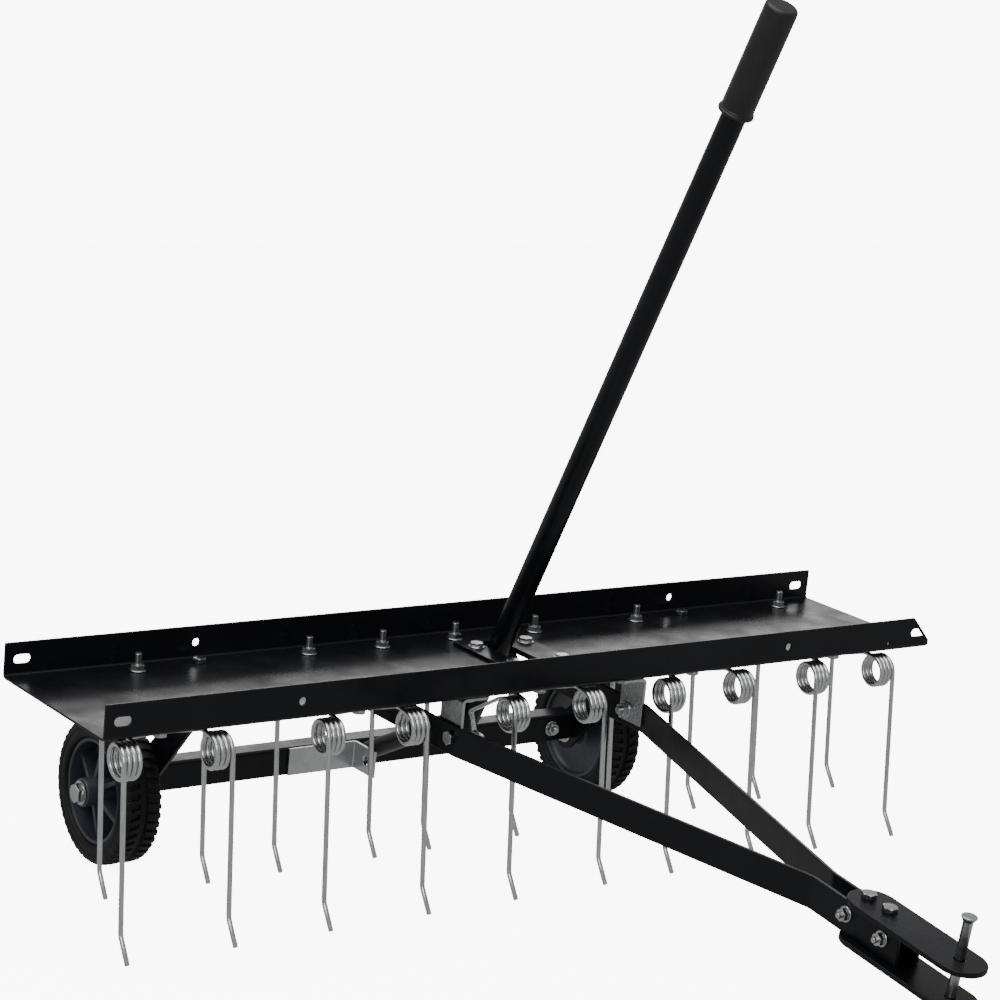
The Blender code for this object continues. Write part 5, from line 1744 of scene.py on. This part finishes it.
class DETHATCHER_OT_lever_stop(bpy.types.Operator):
    """Bend the zinc strip that stops the lever under the tray"""

    bl_idname = "dethatcher.lever_stop"
    bl_label = "Lever stop"

    def execute(self, context):
        sizes = context.scene.dethatcher_handle
        sheet = sizes.stop_sheet
        right = sizes.x - sizes.radius - GAP
        leg_y = STOP_PATH[0][0] - sheet / 2.0
        high = -GAP - sheet / 2.0
        corners = [Vector((leg_y - sizes.stop_flange, high)), Vector((leg_y, high))]
        corners += [Vector(corner) for corner in STOP_PATH]
        path = rounded_path(corners, sizes.stop_bend + sheet / 2.0, segments=5)
        plate = prism([strip(path, sheet)], "X", right - sizes.stop_width, right)
        add_piece("stop_strip", eased(plate, STOP_EASE), "zinc", "root", ("lever_stop",))
        return {"FINISHED"}


# Wheels

# Round one tread block: where its corners stand, as shares of its pitch, and how high
LUG_PHASES = (0.0, 0.08, 0.5, 0.58)
LUG_HEIGHTS = (0.0, 1.0, 1.0, 0.0)
LUG_STAGGER = 0.5
LUG_LEAN = 0.45

# The tyre's bead, each point so far out from its bore and in from its side
BEAD = (
    (0.0, 0.003),
    (0.0015, 0.0008),
    (0.005, 0.0),
    (0.0075, 0.0004),
    (0.009, 0.0012),
    (0.013, 0.001),
)
SIDE_INSET = 0.0008
SIDE_TOP = 0.002
TREAD_EDGE = 0.0004
TREAD_EASE = 0.0012

# The groove round the tread's middle: half its width at the top, under its edge and below
GROOVE_TOP = 0.0052
GROOVE_EDGE = 0.0044
GROOVE_FLOOR = 0.0036

RIM_FILLET = 0.004
RIM_DISH = 0.0075
RIM_STEPS = 72
BORE_EDGE = 0.0006
HUB_EDGE = 0.002
BAND_EDGE = 0.001
RIB_EASE = 0.0008
RIB_AT_BAND = 0.55
RIB_AT_HUB = 0.95


def tyre_mesh(sizes):
    """A tyre with staggered tread blocks across both shoulders, axis along Z.

    Its profile's points are (radius, place along the axis, share of the groove's depth).
    """
    half = sizes.width / 2.0
    radius = sizes.radius
    shoulder = sizes.shoulder
    bore = sizes.rim + GAP
    floor = radius - sizes.groove
    profile = [(bore + out, half - into, 0.0) for out, into in BEAD]
    profile += [
        (radius - shoulder - SIDE_TOP, half - SIDE_INSET, 0.0),
        (radius - shoulder * 0.6, half - TREAD_EASE, 0.35),
        (radius - shoulder * 0.3, half - shoulder * 0.25, 1.0),
        (radius - shoulder * 0.1, half - shoulder * 0.55, 1.0),
        (radius - TREAD_EDGE, half - shoulder, 1.0),
        (radius, half - shoulder - TREAD_EASE, 1.0),
        (radius, GROOVE_TOP, 1.0),
        (radius - TREAD_EDGE, GROOVE_EDGE, 0.2),
        (floor, GROOVE_FLOOR, 0.0),
        (floor, 0.0, 0.0),
    ]
    profile += [(r, -x, depth) for r, x, depth in reversed(profile[:-1])]
    work = bmesh.new()
    columns = []
    count = sizes.lugs * len(LUG_PHASES)
    for index in range(count):
        lug, phase = divmod(index, len(LUG_PHASES))
        column = []
        for r, x, share_cut in profile:
            stagger = LUG_STAGGER if x < 0.0 else 0.0
            lean_in = (half - abs(x)) / half * LUG_LEAN
            aim = math.tau * (lug + LUG_PHASES[phase] + stagger + lean_in) / sizes.lugs
            outboard = sizes.outboard_cut if x > 0.0 and r < radius else 1.0
            cut_depth = sizes.groove * share_cut * outboard * (1.0 - LUG_HEIGHTS[phase])
            reach = r - cut_depth
            if share_cut and r < radius - shoulder / 2.0:
                x -= math.copysign(cut_depth / 2.0, x)
            column.append(work.verts.new((reach * math.cos(aim), reach * math.sin(aim), x)))
        columns.append(column)
    rows = len(profile)
    for index in range(count):
        here = columns[index]
        beside = columns[(index + 1) % count]
        for row in range(rows):
            above = (row + 1) % rows
            work.faces.new((here[row], here[above], beside[above], beside[row]))
    bmesh.ops.recalc_face_normals(work, faces=work.faces)
    mesh = bpy.data.meshes.new("tyre")
    work.to_mesh(mesh)
    work.free()
    return smoothed(mesh, limit=38.0)


def rim_mesh(sizes):
    """A moulded rim with its axis along Z: hub, web, band and gusset ribs."""
    half = sizes.rim_width / 2.0
    hub = sizes.width / 2.0 + sizes.hub_outboard
    bore = sizes.axle + PLAY
    band = sizes.rim - sizes.band
    web_in = -sizes.web_inboard
    web_out = sizes.web - sizes.web_inboard
    inboard = -sizes.width / 2.0 - sizes.hub_inboard
    fillet = RIM_FILLET
    dish = RIM_DISH
    edge = BAND_EDGE
    profile = [(bore, hub - BORE_EDGE), (bore + BORE_EDGE, hub)]
    profile += arc((sizes.hub - HUB_EDGE, hub - HUB_EDGE), HUB_EDGE, 90.0, 0.0, 5)
    profile += arc((sizes.hub + fillet, web_out + fillet), fillet, 180.0, 270.0, 6)
    profile += arc((band - fillet, web_out + fillet), fillet, -90.0, 0.0, 6)
    profile += arc((band + edge, half - edge), edge, 180.0, 90.0, 4)
    profile += arc((sizes.rim - edge, half - edge), edge, 90.0, 0.0, 4)
    profile += arc((sizes.rim - edge, -half + edge), edge, 0.0, -90.0, 4)
    profile += arc((band + edge, -half + edge), edge, -90.0, -180.0, 4)
    profile += arc((band - dish, web_in - dish), dish, 0.0, 90.0, 10)
    profile += arc((sizes.hub + fillet, web_in - fillet), fillet, 90.0, 180.0, 6)
    profile += arc((sizes.hub - edge, inboard + edge), edge, 0.0, -90.0, 4)
    profile += [(bore + BORE_EDGE, inboard), (bore, inboard + BORE_EDGE)]
    body = smoothed(turned(profile, steps=RIM_STEPS, closed=True), limit=40.0)
    low = sizes.hub - HUB_EDGE
    high = band + sizes.band / 2.0
    outline = [
        (low, web_out - sizes.web / 2.0),
        (high, web_out - sizes.web / 2.0),
        (high, half * RIB_AT_BAND),
        (low, half * RIB_AT_HUB),
    ]
    thick = sizes.rib / 2.0
    ribs = []
    for number in range(sizes.ribs):
        rib = eased(prism([outline], "Y", -thick, thick), RIB_EASE, segments=3)
        ribs.append(moved(rib, turn(360.0 * number / sizes.ribs, "Z")))
    return keep_shading(joined(body, *ribs))


class DETHATCHER_OT_wheels(bpy.types.Operator):
    """Build both wheels: treaded tyres on moulded rims"""

    bl_idname = "dethatcher.wheels"
    bl_label = "Wheels"

    def execute(self, context):
        sizes = context.scene.dethatcher_wheels
        for name, side in SIDES.items():
            carrier = DECK @ Matrix.Translation(AXLES[name]) @ turn(90.0 * side, "Y")
            tyre = tyre_mesh(sizes)
            rim = rim_mesh(sizes)
            add_piece(f"treaded_tyre_{name}", tyre, "tyre", f"wheel_{name}",
                      (f"tyre_{name}",), carrier)
            add_piece(f"moulded_rim_{name}", rim, "rim", f"wheel_{name}",
                      (f"rim_{name}",), carrier)
        return {"FINISHED"}


# Finishes and stage

class DETHATCHER_OT_finishes(bpy.types.Operator):
    """Make the materials that the pieces wear"""

    bl_idname = "dethatcher.finishes"
    bl_label = "Finishes"

    def execute(self, context):
        for make in FINISH_MAKERS.values():
            make(context.scene.dethatcher_finishes)
        return {"FINISHED"}


# The soft lights: name, place, width and height in metres, and power in watts
LIGHTS = (
    ("overhead_softbox", (-0.6, -0.4, 2.6), (3.0, 2.2), 60.0),
    ("front_softbox", (-2.4, -2.2, 1.5), (1.8, 1.4), 32.0),
    ("rear_strip", (1.6, 2.4, 1.4), (2.4, 0.6), 13.0),
)
LIGHTS_AIM = Vector((0.0, 0.0, 0.2))
WHITE = (1.0, 1.0, 1.0, 1.0)
FLOOR_COLOR = (0.9, 0.9, 0.9, 1.0)
FLOOR_ROUGHNESS = 0.8
SENSOR_WIDTH = 36.0
FARTHEST = 60.0


def add_light(name, stand, size, power):
    """A soft light that looks at the middle of the machine."""
    light = bpy.data.lights.new(name, "AREA")
    light.shape = "RECTANGLE"
    light.size = size[0]
    light.size_y = size[1]
    light.energy = power
    lamp = bpy.data.objects.new(name, light)
    lamp.location = stand
    aim = LIGHTS_AIM - Vector(stand)
    lamp.rotation_euler = aim.to_track_quat("-Z", "Y").to_euler()
    collection().objects.link(lamp)


class DETHATCHER_OT_stage(bpy.types.Operator):
    """Hang the white paper, lay the pale floor and place the lights and the camera"""

    bl_idname = "dethatcher.stage"
    bl_label = "Stage"

    def execute(self, context):
        sizes = context.scene.dethatcher_stage
        self.add_surround(context, sizes)
        self.add_floor(sizes)
        for light in LIGHTS:
            add_light(*light)
        self.add_camera(context, sizes)
        return {"FINISHED"}

    def add_surround(self, context, sizes):
        """Even light from all round, and white paper where the camera sees past the floor."""
        world = bpy.data.worlds.new("studio_surround")
        world.use_nodes = True
        tree = world.node_tree
        shade = tree.nodes["Background"]
        set_sockets(shade, color=WHITE)
        rays = tree.nodes.new("ShaderNodeLightPath").outputs["Is Camera Ray"]
        strength = ranged(tree, rays, 0.0, 1.0, sizes.sky, sizes.paper)
        tree.links.new(strength, shade.inputs["Strength"])
        context.scene.world = world

    def add_floor(self, sizes):
        """A pale floor that takes soft shadows and throws no light back."""
        new_finish("pale_floor", base_color=FLOOR_COLOR, roughness=FLOOR_ROUGHNESS,
                   emission_color=WHITE, emission_strength=sizes.floor_glow)
        half = sizes.floor_width / 2.0
        low = CAD_BOX[0][2] - sizes.floor_drop
        mesh = bpy.data.meshes.new("floor")
        corners = [(x * half, y * half, low) for x, y in ((-1, -1), (1, -1), (1, 1), (-1, 1))]
        mesh.from_pydata(corners, [], [(0, 1, 2, 3)])
        mesh.materials.append(bpy.data.materials["pale_floor"])
        floor = bpy.data.objects.new("floor", mesh)
        floor.visible_diffuse = False
        floor.visible_glossy = False
        floor.visible_shadow = False
        collection().objects.link(floor)

    def add_camera(self, context, sizes):
        """The camera where the photograph's stood, as its view of the tray gives it."""
        lens = bpy.data.cameras.new("photo_camera")
        lens.sensor_fit = "HORIZONTAL"
        lens.sensor_width = SENSOR_WIDTH
        lens.lens = sizes.lens
        lens.clip_end = FARTHEST
        camera = bpy.data.objects.new("photo_camera", lens)
        forward = Vector(sizes.aim).normalized()
        right = forward.cross(Vector(sizes.up)).normalized()
        above = right.cross(forward)
        turned_to = Matrix((right, above, -forward)).transposed().to_4x4()
        camera.matrix_world = DECK @ Matrix.Translation(sizes.camera) @ turned_to
        collection().objects.link(camera)
        context.scene.camera = camera


STEPS = (
    ("finishes", DETHATCHER_OT_finishes),
    ("stage", DETHATCHER_OT_stage),
    ("tray", DETHATCHER_OT_tray),
    ("slot_plate", DETHATCHER_OT_slot_plate),
    ("tines", DETHATCHER_OT_tines),
    ("tine_bolts", DETHATCHER_OT_tine_bolts),
    ("drawbars", DETHATCHER_OT_drawbars),
    ("hangers", DETHATCHER_OT_hangers),
    ("hitch_straps", DETHATCHER_OT_hitch_straps),
    ("hitch_pin", DETHATCHER_OT_hitch_pin),
    ("hinge_brackets", DETHATCHER_OT_hinge_brackets),
    ("side_arms", DETHATCHER_OT_side_arms),
    ("beam", DETHATCHER_OT_beam),
    ("handle", DETHATCHER_OT_handle),
    ("lever_stop", DETHATCHER_OT_lever_stop),
    ("wheels", DETHATCHER_OT_wheels),
)


class DETHATCHER_PT_panel(bpy.types.Panel):
    """Lists the sizes and the steps that build the dressing"""

    bl_idname = "DETHATCHER_PT_panel"
    bl_label = "Dethatcher"
    bl_space_type = "VIEW_3D"
    bl_region_type = "UI"
    bl_category = "Dethatcher"

    def draw(self, context):
        for _, operator in STEPS:
            self.layout.operator(operator.bl_idname)
        for name, group in SIZE_GROUPS.items():
            box = self.layout.box()
            box.label(text=group.__doc__)
            for key in group.__annotations__:
                box.prop(getattr(context.scene, name), key)


def register():
    """Add the size groups to the scene, then the operators and the panel."""
    for name, group in SIZE_GROUPS.items():
        bpy.utils.register_class(group)
        setattr(bpy.types.Scene, name, bpy.props.PointerProperty(type=group))
    for _, operator in STEPS:
        bpy.utils.register_class(operator)
    bpy.utils.register_class(DETHATCHER_PT_panel)


def unregister():
    """Take back what register added, last first."""
    bpy.utils.unregister_class(DETHATCHER_PT_panel)
    for _, operator in reversed(STEPS):
        bpy.utils.unregister_class(operator)
    for name, group in reversed(SIZE_GROUPS.items()):
        delattr(bpy.types.Scene, name)
        bpy.utils.unregister_class(group)


def main():
    """Build every piece and the stage in order."""
    register()
    for name, _ in STEPS:
        getattr(bpy.ops.dethatcher, name)()


if __name__ == "__main__":
    main()
